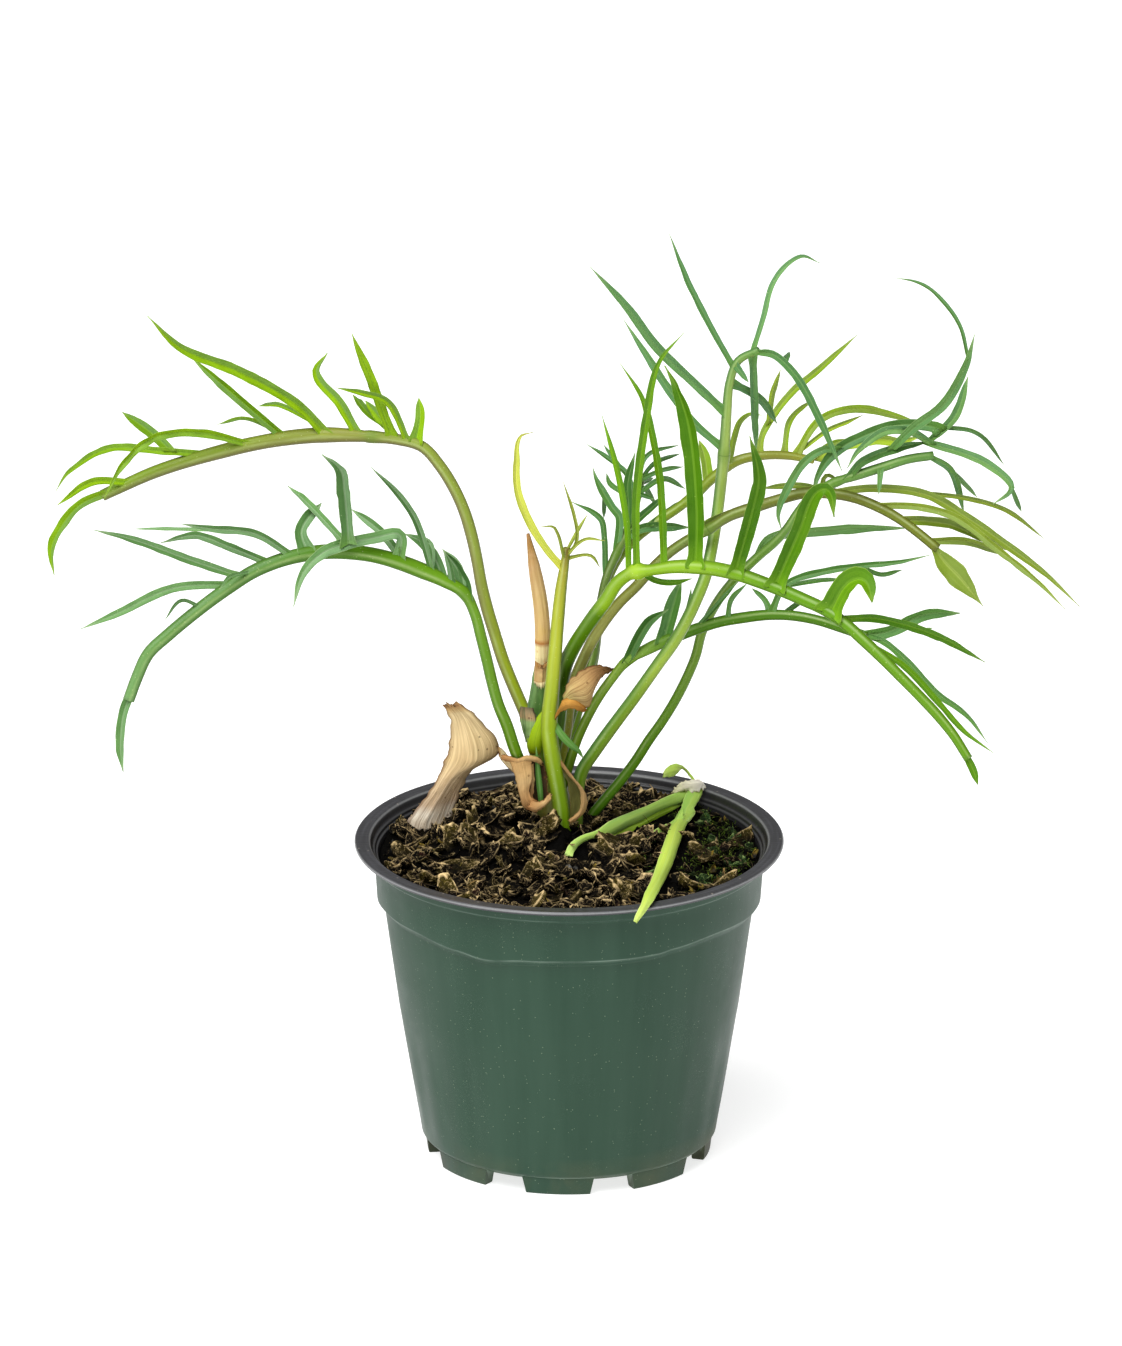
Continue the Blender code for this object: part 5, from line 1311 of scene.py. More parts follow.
# The broken leaf that lies over the soil: wilting straps on a papery node. Each strap is drawn between two
# edges of (across, seen) places, and takes its depth from the CAD model's line of the same strap.
fallenLook = {
    "bright": (204, 222, 84), "deep": (150, 196, 98), "mid": (184, 212, 82), "halfSheenAndShade": (140, 190, 88),
    "under": (140, 182, 22), "rib": (232, 244, 130), "edge": (232, 244, 158), "foot": (176, 216, 100),
    "ribShare": 0.25,
}
nodeLook = {
    "along": [(0.0, (240, 238, 170)), (0.4, (252, 246, 214)), (0.7, (252, 246, 232)),
              (1.0, (255, 252, 246))],
    "vein": (246, 238, 208), "stain": (250, 240, 216), "under": (224, 212, 172), "edge": (222, 204, 164),
}
fallenSheets = [
    {  # the broad strap's lit upper side
        "line": "short", "tone": 0.1, "halves": 0.5, "lift": 0.9,
        "bulge": [0.05, 0.16, 0.2, 0.2, 0.16, 0.1], "seed": 61,
        "left": [(42.6, 144.9), (35.9, 141.8), (30.3, 139), (24.6, 136.7), (20.1, 134.9), (15.1, 132.4),
                 (10.6, 129), (5.5, 127.2), (2.2, 125.4), (-0.2, 122.9), (-1.3, 120), (-1.9, 118.4)],
        "right": [(47.4, 144.2), (43.8, 140.2), (39.8, 138.8), (35.9, 137.2), (31.4, 134.8), (26.9, 132.4),
                  (22.4, 130.2), (17.9, 127.7), (13.4, 126.1), (7.8, 125.3), (4.1, 123.3), (2.2, 120.9),
                  (1.4, 118.4)],
    },
    {  # its lower side, folded under
        "line": "short", "tone": 0.9, "halves": 0.5, "lift": 0.2, "bulge": [0.0, 0.08, 0.08, 0.0],
        "seed": 62, "shade": True,
        "left": [(43.6, 139.8), (39.8, 139), (35.9, 137.4), (31.4, 135), (26.9, 132.6), (22.4, 130.4),
                 (17.9, 127.9), (12.6, 126)],
        "right": [(43.2, 138.8), (40.9, 137.4), (35.9, 134.6), (30.3, 131.7), (24.6, 128.5), (20.1, 126.1),
                  (15.1, 123.6), (12.4, 124.8)],
    },
    {  # from the node to the long strap
        "line": "long", "tone": 0.25, "halves": 0.8, "lift": 1.2, "bulge": [0.1, 0.12, 0.1], "seed": 63,
        "left": [(46.4, 146.4), (44.4, 142.1), (43.6, 139.4), (43, 137.3), (41.5, 134.9), (40.2, 131.6)],
        "right": [(51.8, 146), (50.9, 142.7), (49.3, 139.7), (48.1, 137.6), (48.6, 135.9), (46, 132)],
    },
    {
        "line": "long", "tone": 0.92, "halves": 0.42, "lift": 1.5,
        "bulge": [0.06, 0.14, 0.16, 0.14, 0.12, 0.1], "seed": 64,
        "left": [(41.5, 133.6), (38.8, 130.2), (37.1, 126), (35.3, 120.6), (33.3, 114.7), (31.5, 109.3),
                 (28.7, 103.6), (27, 98.5), (25.4, 95), (24.6, 92.6)],
        "right": [(48.2, 136), (46, 132.6), (44.1, 128.4), (41.8, 121.7), (39.6, 115.2), (37.4, 110.4),
                  (34.7, 105.1), (32.3, 100.9), (28.8, 95.9), (25.9, 91.9)],
    },
    {
        "line": "scrap", "tone": 0.2, "halves": 0.6, "lift": 0.4, "bulge": [0.1, 0.2, 0.2, 0.1], "seed": 65,
        "left": [(43.6, 137.8), (40.4, 133.2), (35.9, 130.8), (31.4, 128.3), (28, 127.1)],
        "right": [(44.3, 133.7), (39.9, 129.3), (35.9, 126.1), (31.4, 125.8), (28.1, 125.6)],
    },
    {
        "line": "curl", "tone": 0.55, "halves": 0.5, "lift": 0.3, "bulge": [0.1, 0.1, 0.2, 0.25],
        "seed": 66,
        "left": [(49.6, 148.5), (47.9, 150.5), (46, 153), (44.2, 154.8), (42.2, 155.8), (40.4, 155.9),
                 (37.8, 154.5), (36.3, 152.4)],
        "right": [(48.3, 148.8), (47, 149.9), (45.3, 152.2), (43.6, 153.8), (42.9, 153.7), (41.8, 152.2),
                  (39.7, 150.6), (36.2, 150.5)],
    },
    {  # the papery node
        "line": "long", "tone": 0.5, "halves": 0.5, "lift": 1.9, "bulge": [0.2, 0.3, 0.35, 0.3], "seed": 67,
        "paper": True,
        "left": [(39.6, 144), (42.3, 147.5), (44.9, 148.9), (47.7, 149.3), (50.5, 149.2), (52.4, 147)],
        "right": [(40.6, 143.6), (43.2, 144.7), (46, 144.8), (48.5, 144.4), (51.9, 145.4), (52.6, 146)],
    },
]


def depthOn(line, across, seen):
    return min(line, key=lambda point: (point.x - across) ** 2 + (seenHeight(point) - seen) ** 2).y


def makeFallenLeaf():
    piece = newPiece()
    for sheet in fallenSheets:
        line = curveThrough(placed(fallenLeaf[sheet["line"]]), 1.0)
        edges = {}
        for side in ("left", "right"):
            depths = [depthOn(line, *spot) - sheet["lift"] for spot in sheet[side]]
            edges[side] = [(across, depth, seen) for (across, seen), depth in zip(sheet[side], depths)]
        paper = sheet.get("paper", False)
        rag, crease = (0.6, 0.5) if paper else (0.12, 0.12)
        look = {"rows": 46, "columns": 10, "rag": rag, "jagged": 0.3, "crease": crease, "thick": 0.5}
        addSheet(piece, {**look, **sheet, **edges}, 1 if paper else 0)
    finishes = [bladeFinish("fallen_leaf_skin", fallenLook), dryFinish("fallen_leaf_node", nodeLook)]
    addPiece("fallen_leaf_straps", piece, finishes, "young_leaf", "fallen_leaf")


makeFallenLeaf()
print("fallen leaf done")


# Pot. The outside runs as (radius, height) up to the lip, the inside back down to the floor.
pot = {
    "footHeight": 6.0, "footCount": 8, "footSpan": math.radians(29), "footTurn": math.radians(-4.5),
    "footTaper": 0.1, "footSunk": 0.9, "footSteps": 12, "slotCorners": 16,
    "footRadii": (49.5, 55.3), "slotSize": (7, 9, 12), "slotRadius": 47,
    "sides": 192, "corner": 0.6, "stepHeight": 102.4, "stepReach": 4.5, "flutes": 24, "fluteDepth": 0.16,
    "fluteFoot": (8.5, 5), "fluteTop": (62, 20), "dent": 0.22, "greenUpTo": (80, 123.5),
    "outside": [(0, 6), (54.2, 6), (56.6, 8.2), (58.6, 19.6), (65.3, 60), (70.8, 99.6), (71.6, 100.4),
                (73.6, 102.4), (74.8, 118.6), (76.6, 119.4), (77.3, 123.6), (80.6, 124.0), (82.2, 124.0),
                (82.5, 124.9), (81.9, 125.6)],
    "inside": [(77.2, 125.6), (76.3, 124.8), (75.5, 122.6), (74.5, 122.1), (74.3, 121.0), (73.4, 120.7),
               (73.1, 119.4), (71.6, 103.2), (69.4, 100.2), (63.3, 60), (56.4, 19), (54.4, 8.2), (0, 8.2)],
    # the moulded step dips and rises on its way round: degrees to the right of the front, then its rise
    "stepLine": [(-180, 0.0), (-110, -0.6), (-90, -0.3), (-72, 1.2), (-54, 1.4), (-36, -0.6), (-26, -2.0),
                 (-13, -0.4), (0, 0.0), (18, -0.1), (28, 0.1), (33, 1.0), (48, 1.9), (75, 0.4), (90, -0.5),
                 (120, 0.5), (180, 0.0)],
}


def roundedProfile(profile, corner, steps=3):
    # a curve in place of each corner
    made = [profile[0]]
    for before, here, after in zip(profile, profile[1:], profile[2:]):
        start, end = Vector(before) - Vector(here), Vector(after) - Vector(here)
        cut = min(corner, 0.45 * start.length, 0.45 * end.length)
        a = Vector(here) + start.normalized() * cut
        b = Vector(here) + end.normalized() * cut
        for step in range(steps + 1):
            share = step / steps
            middle = Vector(here) * 2 * share * (1 - share)
            made.append(tuple(a * (1 - share) ** 2 + middle + b * share * share))
    return made + [profile[-1]]


def subdivided(profile, longest):
    made = [profile[0]]
    for here, after in zip(profile, profile[1:]):
        count = max(1, math.ceil(math.dist(here, after) / longest))
        made += [tuple(Vector(here).lerp(Vector(after), step / count)) for step in range(1, count + 1)]
    return made


def potRadius(radius, height, turn):
    # low flutes on the lower wall and the slight dents of soft moulded plastic
    (foot, footFade), (top, topFade) = pot["fluteFoot"], pot["fluteTop"]
    lower = min(1, max(0, (top - height) / topFade)) * min(1, max(0, (height - foot) / footFade))
    flute = pot["fluteDepth"] * lower * (math.cos(pot["flutes"] * turn) - 1)
    dent = pot["dent"] * noise.noise(Vector((2.2 * math.cos(turn), 2.2 * math.sin(turn), height / 34)))
    return radius + flute + (dent if radius > 40 and height > 9 else 0)


def potHeight(height, turn):
    near = math.exp(-((height - pot["stepHeight"] + 1) / pot["stepReach"]) ** 2)
    degrees = (math.degrees(turn) + 180) % 360 - 180
    for (start, low), (end, high) in zip(pot["stepLine"], pot["stepLine"][1:]):
        if start <= degrees <= end:
            share = (degrees - start) / (end - start)
            return height + near * (low + (high - low) * share * share * (3 - 2 * share))


def potEdgeHighlight(radius, height):
    # painted highlights: a light line along the step, the bead below the lip and the lip's outer edge, and
    # inside along the steps below the lip
    lines = ((pot["stepHeight"] - 0.15, 0.4, 0.7), (119.5, 0.5, 0.3), (125.0, 0.45, 0.8))
    if radius < 75.2 and height > 120.3:
        lines = ((122.2, 0.4, 0.9), (120.8, 0.35, 0.7))
    if radius <= 73:
        return 0.0
    return max(edgeHighlight * max(0, 1 - abs(height - level) / reach) for level, reach, edgeHighlight in lines)


def turnsOf(count):
    return [2 * math.pi * step / count for step in range(count)]


def onPot(radius, turn, height):
    # a turn of nought faces the front
    return Vector((radius * math.sin(turn), -radius * math.cos(turn), height))


def shellOf(rings, edgeHighlight=None, across=None, capEnds=True):
    # a piece whose tone only says how much painted edge highlight each of its rings takes
    count = len(rings[0])
    tones = [[(value, 0.0, 0.0, 0.5)] * count for value in edgeHighlight or [0.0] * len(rings)]
    piece = newPiece()
    addLoft(piece, rings, across or [0.0] * (count + 1), [0.0] * len(rings), tones, capEnds=capEnds)
    return piece


def potFoot():
    # one foot: a short stretch of a flat ring, sunk into the floor
    inner, outer = pot["footRadii"]
    top = pot["footHeight"] + pot["footSunk"]
    corners = [(inner, top), (inner, 0.0), (outer - pot["footSunk"], 0.0), (outer, top)]
    section = roundedProfile(corners, pot["corner"])
    steps = pot["footSteps"]
    rings = []
    for step in range(steps + 1):
        ring = []
        for radius, height in section:
            turn = pot["footSpan"] * (1 - pot["footTaper"] * (1 - height / top)) * (step / steps - 0.5)
            ring.append(onPot(radius, turn, height))
        rings.append(ring)
    return shellOf(rings)


def slotCutter():
    wide, long, tall = pot["slotSize"]
    rings = []
    for height in (pot["footHeight"] - tall / 2, pot["footHeight"] + tall / 2):
        ring = []
        for turn in turnsOf(pot["slotCorners"]):
            x, y = math.cos(turn), math.sin(turn)
            square = max(abs(x), abs(y)) ** 0.7
            ring.append(Vector((y * long / 2 / square, -pot["slotRadius"] + x * wide / 2 / square, height)))
        rings.append(ring)
    return shellOf(rings)


def makeRingTree():
    # repeats one shape round the pot's axis
    inputs = {"Geometry": "Geometry", "Count": 8, "First Turn": 0.0, "Finish": "Material"}
    tree, given, out = newGroup("ringRoundPot", inputs, ["Geometry"], "Geometry")
    line = put("GeometryNodeMeshLine", {"Count": given["Count"], "Offset": (0, 0, 0)}).outputs[0]
    share = maths("DIVIDE", put("GeometryNodeInputIndex").outputs[0], given["Count"])
    turnLinks = {0: share, 1: 2 * math.pi, 2: given["First Turn"]}
    turn = put("ShaderNodeMath", turnLinks, operation="MULTIPLY_ADD").outputs[0]
    turned = put("FunctionNodeEulerToRotation", {0: joined(0.0, 0.0, turn)}).outputs[0]
    links = {"Points": line, "Instance": given["Geometry"], "Rotation": turned}
    finishTree(put("GeometryNodeInstanceOnPoints", links).outputs[0], given["Finish"], out)
    return tree


def finishTree(copies, finish, out):
    real = put("GeometryNodeRealizeInstances", {0: copies}).outputs[0]
    painted = put("GeometryNodeSetMaterial", {"Geometry": real, "Material": finish}).outputs[0]
    wire(painted, out[0])


def plainMesh(obj, change):
    # what a modifier makes of an object, as a mesh of its own; the modifier is removed
    mesh = bpy.data.meshes.new_from_object(obj.evaluated_get(bpy.context.evaluated_depsgraph_get()))
    obj.modifiers.remove(change)
    return mesh


def growTree(obj, tree, values):
    change = obj.modifiers.new("grow", "NODES")
    change.node_group = tree
    for item in tree.interface.items_tree:
        if item.in_out == "INPUT" and item.name in values:
            change[item.identifier] = values[item.name]
    return plainMesh(obj, change)


def combine(obj, other, operation):
    change = obj.modifiers.new("combine", "BOOLEAN")
    change.operation = operation
    change.solver = "MANIFOLD"
    change.object = other
    obj.data = plainMesh(obj, change)
    bpy.data.objects.remove(other)


def potPlace():
    # where a point of the pot is, its turn round the axis and how much painted edge highlight it takes
    spot = objectPlace()
    x, y, z = put("ShaderNodeSeparateXYZ", {0: spot}).outputs
    edgeHighlight = put("ShaderNodeSeparateColor", {0: attribute("tone", "Color")}).outputs[0]
    return spot, x, y, z, maths("ARCTAN2", x, times(y, -1.0)), edgeHighlight


def potWallFinish():
    finish, shader = newFinish("green_plastic", Specular_IOR_Level=0.2)
    spot, x, _, z, turn, edgeHighlight = potPlace()
    marks = marksOn(spot, 26.0, 240.0, 0.10)
    dust = marksOn(spot, 160.0, 620.0, 0.13)
    wipe = cloud(joined(times(turn, 5.0), times(z, 7.0)), 1.0, 3.0)
    scratch = cloud(joined(times(turn, 16.0), times(z, 190.0)), 1.6, 2.0, 0.5, 2.2)
    patchy = spread(cloud(spot, 34.0, 2.0), 0.56, 0.66)
    scratch = times(spread(absolute(minus(scratch, 0.5)), 0.006, 0.0), patchy)
    highlightBreaks = spread(cloud(spot, 60.0, 2.0), 0.34, 0.6, 0.1, 0.75)
    low = times(spread(z, 0.016, 0.006), marks["Blotch"])
    # darker blotches low on the feet at both sides
    side = spread(absolute(x), 0.040, 0.050)
    lowDarkening = times(spread(z, 0.0078, 0.0055), spread(dust["Blotch"], 0.1, 0.6, 0.4, 1.0))
    colour = coats(
        mix(spread(wipe, 0.36, 0.66), (38, 66, 50), (47, 74, 58)),
        (times(marks["Blotch"], 0.35), (52, 76, 61)),
        (times(scratch, 0.35), (118, 142, 124)),
        (times(dust["Mark"], 0.45), (134, 152, 126)),
        # painted highlight along the step and the bead, broken up in patches
        (times(edgeHighlight, highlightBreaks), (150, 172, 156)),
        (times(low, 0.55), (92, 92, 66)),
        (times(times(side, lowDarkening), 0.8), (50, 52, 34)),
    )
    rough = plus(plus(0.36, times(marks["Blotch"], 0.16)), times(scratch, 0.15))
    height = plus(minus(times(marks["Grain"], 0.25), times(scratch, 0.6)), times(wipe, 1.2))
    dress(shader, colour, rough, height, 0.35, 0.0003)
    return finish


def potLipFinish():
    finish, shader = newFinish("charcoal_plastic", Specular_IOR_Level=0.36, Coat_Weight=0.06,
                               Coat_Roughness=0.3)
    spot, x, y, z, turn, edgeHighlight = potPlace()
    marks = marksOn(spot, 48.0, 300.0, 0.14)
    radius = put("ShaderNodeVectorMath", {0: joined(x, y)}, operation="LENGTH").outputs["Value"]
    radial = cloud(joined(times(turn, 60.0), times(radius, 60.0)), 1.0, 3.0)
    ringed = cloud(joined(times(turn, 3.0), times(radius, 900.0)), 1.0, 2.0)
    # painted shade: the inner wall below the lip is darkened nearly to black
    inner = times(spread(z, 0.1252, 0.1238), spread(radius, 0.0772, 0.0762))
    colour = coats(
        mix(spread(radial, 0.35, 0.7), (38, 38, 40), (62, 62, 65)),
        (times(spread(ringed, 0.45, 0.7), 0.5), (80, 80, 86)),
        (times(marks["Blotch"], 0.25), (30, 30, 33)),
        (times(marks["Mark"], 0.5), (150, 142, 130)),
        # painted highlight along the lip's outer edge and the inner steps
        (times(edgeHighlight, 0.6), (186, 187, 188)),
        (times(inner, 0.85), (24, 23, 25)),
    )
    height = plus(times(radial, 0.6), times(ringed, 0.5))
    dress(shader, colour, spread(radial, 0.3, 0.7, 0.28, 0.46), height, 0.4, 0.0004)
    return finish


def makePot():
    outside = subdivided(roundedProfile(pot["outside"], pot["corner"]), 4.0)
    inside = subdivided(roundedProfile(pot["inside"], pot["corner"]), 6.0)
    widest, highest = pot["greenUpTo"]
    greenRows = sum(1 for radius, height in outside if height < highest and radius < widest)
    profile = (outside + inside)[1:-1]
    sides = pot["sides"]
    rings = [
        [onPot(potRadius(radius, height, turn), turn, potHeight(height, turn)) for turn in turnsOf(sides)]
        for radius, height in profile
    ]
    across = [side / sides for side in range(sides + 1)]
    piece = shellOf(rings, [potEdgeHighlight(radius, height) for radius, height in profile], across)
    for index in range(len(piece["faces"])):
        piece["finishes"][index] = 0 if index < (greenRows - 1) * sides else 1
    piece["finishes"][-2 * sides:-sides] = [0] * sides
    green = potWallFinish()
    body = looseObject("pot_body", meshOf("pot_body", piece, [green, potLipFinish()]))
    ring = makeRingTree()
    half = math.pi / pot["footCount"]
    parts = (("foot", potFoot, 0, "UNION"), ("slot", slotCutter, half, "DIFFERENCE"))
    for name, maker, turn, operation in parts:
        one = looseObject(name, meshOf(name, maker(), [green]))
        values = {"Count": pot["footCount"], "First Turn": pot["footTurn"] + turn, "Finish": green}
        every = looseObject(name + "_ring", growTree(one, ring, values))
        bpy.data.objects.remove(one)
        combine(body, every, operation)
    body.data.shade_smooth()
    body.data.set_sharp_from_angle(angle=math.radians(40))
    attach(body, "root")
    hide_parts("pot")


makePot()
print("pot done")

# Soil
soil = {
    "edge": 118.8, "mound": 10.5, "moundAt": (-6, 15), "moundSpread": 27, "rough": 1.5, "fineLumps": 0.17,
    "coarseLumps": 0.068, "radius": 72.5, "rings": 90, "sides": 240, "bark": 1.1,
    "shadeDepth": 1.5, "shadeFade": 4.2, "mossShadeLift": 1.2, "drawSeed": 7, "firstSeed": 11,
    "heaps": [(-34, 6, 10.0, 7.5), (-14, -4, 3.5, 6.0), (-4, -7, 8.0, 4.6), (-50, 20, 3.0, 9.0)],
    "wall": [(71.2, 103.0), (69.0, 100.0), (62.9, 60), (56.0, 19.0), (54.0, 8.6)], "inside": 72.7,
}


def ground(x, y):
    fromCrown = (x - soil["moundAt"][0]) ** 2 + (y - soil["moundAt"][1]) ** 2
    mound = soil["mound"] * math.exp(-fromCrown / (2 * soil["moundSpread"] ** 2))
    spot = Vector((x, y, 0))
    lumps = noise.noise(spot * soil["fineLumps"]) + noise.noise(spot * soil["coarseLumps"])
    # loose bark heaped against the crown and the sheaths
    heaps = sum(
        tall * math.exp(-((x - at) ** 2 + (y - depth) ** 2) / (2 * wide ** 2))
        for at, depth, tall, wide in soil["heaps"]
    )
    return soil["edge"] + mound + heaps + soil["rough"] * lumps


def soilSurface(x, y):
    spot = Vector((x, y, 0))
    bark = noise.noise(spot * 0.55) * 0.8 + noise.noise(spot * 1.3) * 0.45
    bark -= abs(noise.noise(spot * 0.33)) * 1.2
    return ground(x, y) + soil["bark"] * bark - 0.5


def soilFinish(name, dark, middle, light, shine=0.05, edge=0.9, tint=0.0):
    # light is the colour of a piece's broken edges, partly the bark's own pale edge and partly a painted
    # highlight
    finish, shader = newFinish(name, Specular_IOR_Level=shine)
    spot = objectPlace()
    tone = attribute("scatterTone")
    rise = attribute("rise")  # how far it stands out of the bed, which sets its painted shade
    marks = marksOn(spot, 330.0, 900.0, 0.2)
    grain = cloud(spot, 620.0, 4.0, 0.7, 1.0)
    cellLinks = {"Vector": spot, "Scale": 800.0}
    cells = put("ShaderNodeTexVoronoi", cellLinks, feature="DISTANCE_TO_EDGE").outputs["Distance"]
    # pale ridges of the wrinkled bark, and its torn edges, which also carry a painted highlight
    wrinkle = cloud(spot, 260.0, 2.0, 0.6, 1.8)
    ridge = times(spread(absolute(minus(wrinkle, 0.5)), 0.018, 0.0), spread(grain, 0.38, 0.54))
    tornEdgeAndHighlight = times(spread(attribute("broken"), 0.62, 0.94), spread(marks["Blotch"], 0.15, 0.8, 0.0, 1.0))
    colour = coats(
        mix(spread(tone, 0.1, 0.8), dark, middle),
        (spread(tone, 0.86, 0.9, 0.0, tint), (92, 80, 30)),
        (spread(tone, 0.14, 0.1, 0.0, tint), (78, 46, 36)),
        (times(spread(grain, 0.58, 0.40), 0.6), (6, 4, 2)),
        (spread(cells, 0.14, 0.03, 0.0, 0.5), (5, 4, 2)),
        (times(ridge, 0.8), light),
        (times(tornEdgeAndHighlight, edge), light),
    )
    rough = spread(grain, 0.2, 0.8, 0.55, 0.95)
    # painted shade: the low parts of the pieces turn near black next to the bed
    dress(shader, mix(rise, (4, 3, 2), colour), rough, grain, 0.7, 0.0008)
    return finish


def chance(seed, low, high, kind="FLOAT"):
    # a random value for each scattered shape
    first, output = (0, 0) if kind == "FLOAT_VECTOR" else (2, 1)
    links = {first: low, first + 1: high, "Seed": seed}
    return put("FunctionNodeRandomValue", links, data_type=kind).outputs[output]


def makeScatterTree():
    # scatters small shapes over the soil, thick where the attribute named in "Where" says
    inputs = {
        "Geometry": "Geometry", "Shapes": "Collection", "Per Square Metre": 1000.0, "Smallest": 0.6,
        "Largest": 1.4, "Tilt": 0.5, "Sunk": 0.0, "Seed": 0, "Where": "String", "Finish": "Material",
    }
    tree, given, out = newGroup("scatterOverSoil", inputs, ["Geometry"], "Geometry")
    seed = given["Seed"]
    where = put("GeometryNodeInputNamedAttribute", {"Name": given["Where"]}, data_type="FLOAT").outputs[0]
    density = times(given["Per Square Metre"], where)
    pointLinks = {"Mesh": given["Geometry"], "Density": density, "Seed": seed}
    points = put("GeometryNodeDistributePointsOnFaces", pointLinks).outputs
    shapeLinks = {"Collection": given["Shapes"], "Separate Children": True, "Reset Children": True}
    shapes = put("GeometryNodeCollectionInfo", shapeLinks).outputs[0]
    low = times(given["Tilt"], -1.0)
    highest = joined(given["Tilt"], given["Tilt"], math.pi)
    turn = chance(seed, joined(low, low, -math.pi), highest, "FLOAT_VECTOR")
    turnLinks = {0: points["Rotation"], 1: put("FunctionNodeEulerToRotation", {0: turn}).outputs[0]}
    turned = put("FunctionNodeRotateRotation", turnLinks, rotation_space="LOCAL").outputs[0]
    size = chance(seed, given["Smallest"], given["Largest"])
    copies = put("GeometryNodeInstanceOnPoints", {
        "Points": points["Points"], "Instance": shapes, "Pick Instance": True, "Rotation": turned,
        "Scale": size,
    }).outputs[0]
    drop = joined(0.0, 0.0, times(given["Sunk"], -1.0))
    sunkLinks = {"Instances": copies, "Translation": drop, "Local Space": False}
    sunk = put("GeometryNodeTranslateInstances", sunkLinks).outputs[0]
    toneLinks = {"Geometry": sunk, "Name": "scatterTone", "Value": chance(seed, 0.0, 1.0)}
    toned = put("GeometryNodeStoreNamedAttribute", toneLinks, data_type="FLOAT", domain="INSTANCE")
    finishTree(toned.outputs[0], given["Finish"], out)
    return tree


def shapeCollection(name, shapes):
    # a hidden collection of small loose shapes to scatter; "broken" marks their torn edges, whose pale
    # colour is partly a painted highlight
    found = bpy.data.collections.new(name)
    for number, (points, faces, broken) in enumerate(shapes):
        mesh = bpy.data.meshes.new(f"{name}_{number}")
        mesh.from_pydata([point * mm for point in points], [], faces)
        turnedOut(mesh)
        mesh.attributes.new("broken", "FLOAT", "POINT").data.foreach_set("value", broken)
        found.objects.link(bpy.data.objects.new(f"{name}_{number}", mesh))
    return found


def ringShape(rings, broken):
    # a closed small shape from its rings of points
    count = len(rings[0])
    last = (len(rings) - 1) * count
    faces = [tuple(range(count - 1, -1, -1)), tuple(range(last, last + count))]
    for low in range(0, last, count):
        high = low + count
        for corner in range(count):
            following = (corner + 1) % count
            faces.append((low + corner, low + following, high + following, high + corner))
    return [point for ring in rings for point in ring], faces, [value for ring in broken for value in ring]


def barkPlate(random_, length, width, thick, curl, rows=5, columns=4):
    # a broken plate of bark, curled along and across, with ragged ends
    across = random_.uniform(0.3, 1.0) * curl
    twist = random_.uniform(-0.7, 0.7) * curl
    ends = [[random_.uniform(-0.16, 0.16) for _ in range(columns + 1)] for _ in range(2)]
    rings, broken = [], []
    for row in range(rows + 1):
        v = 2 * row / rows - 1
        wide = width * (1 - 0.4 * abs(v) ** 2.5) * random_.uniform(0.85, 1.15)
        shift = random_.uniform(-0.08, 0.08) * width
        top, under = [], []
        for column in range(columns + 1):
            u = 2 * column / columns - 1
            end = ends[v > 0][column] * length * max(0, abs(v) - 0.5) * 2
            lift = curl * length * 0.3 * v * v + across * width * 0.5 * u * u + twist * width * 0.5 * u * v
            lift += random_.uniform(-0.12, 0.12) * thick
            half = thick / 2 * (1 - 0.45 * abs(u) ** 3)
            spot = Vector((u * wide / 2 + shift, v * length / 2 + end, lift))
            top.append(spot + Vector((0, 0, half)))
            under.append(spot - Vector((0, 0, half)))
        rings.append(top + under[::-1])
        edge = [1.0 if column in (0, columns) or row in (0, rows) else 0.0 for column in range(columns + 1)]
        broken.append(edge + [0.0] * len(edge))  # only the upper rim is pale, where the painted highlight falls
    return ringShape(rings, broken)


def strand(random_, length, width, rings=7, corners=3):
    # a curled fibre or rootlet
    phase = random_.uniform(0, 6)
    bend = random_.uniform(0.08, 0.26)
    made = []
    for ring in range(rings + 1):
        share = ring / rings
        x = bend * length * math.sin(3.4 * share + phase)
        z = 0.7 * bend * length * math.sin(4.4 * share + phase * 2)
        half = width * (1 - 0.6 * share) / 2
        y = (share - 0.5) * length
        spots = [(x + half * math.cos(turn), y, z + half * math.sin(turn)) for turn in turnsOf(corners)]
        made.append([Vector(spot) for spot in spots])
    return ringShape(made, [[share / rings] * corners for share in range(rings + 1)])


def grainShape(random_, size):
    # a rounded lump
    work = bmesh.new()
    bmesh.ops.create_icosphere(work, subdivisions=1, radius=size / 2)
    stretch = Vector((random_.uniform(0.7, 1.2), random_.uniform(0.7, 1.2), random_.uniform(0.6, 1.0)))
    points = [vertex.co * stretch * random_.uniform(0.78, 1.12) for vertex in work.verts]
    faces = [tuple(vertex.index for vertex in item.verts) for item in work.faces]
    work.free()
    return points, faces, [0.0] * len(points)


def riseOf(point, dry):
    # how far a point of a loose piece stands out of the bed, from 0 to 1: low points take painted shade,
    # and dry raises the value so less of them is shaded
    x, y, z = (value / mm for value in point)
    return min(1, max(0, (z - soilSurface(x, y) - soil["shadeDepth"] + dry) / soil["shadeFade"]))


def thickAt(x, y, leafSpots):
    # how thick each kind of loose piece lies at a place; none lies close to the fallen leaf
    away = min(math.hypot(x - point.x, y - point.y) for point in leafSpots)
    patch = noise.noise(Vector((x, y, 9)) * 0.09)
    moss = max(0, min(1, (x - 24) / 20 + patch * 1.2 - max(0, -22 - y) / 34))
    clear = 2.6 if x < 4 else 4.3
    left = max(0.35, min(1, (8 - x) / 26 + 0.4)) * (1 - 0.6 * moss)
    litter = max(0, min(1, 0.65 + 1.8 * noise.noise(Vector((x, y, 4)) * 0.07)))
    kinds = {
        "chips": (clear, 1.0 - 0.75 * moss), "litter": (4.4, litter), "crumbs": (2.4, 1.0),
        "mossy": (3.4, moss), "left": (clear, left),
    }
    return {label: 0.0 if away < nearest else thick for label, (nearest, thick) in kinds.items()}


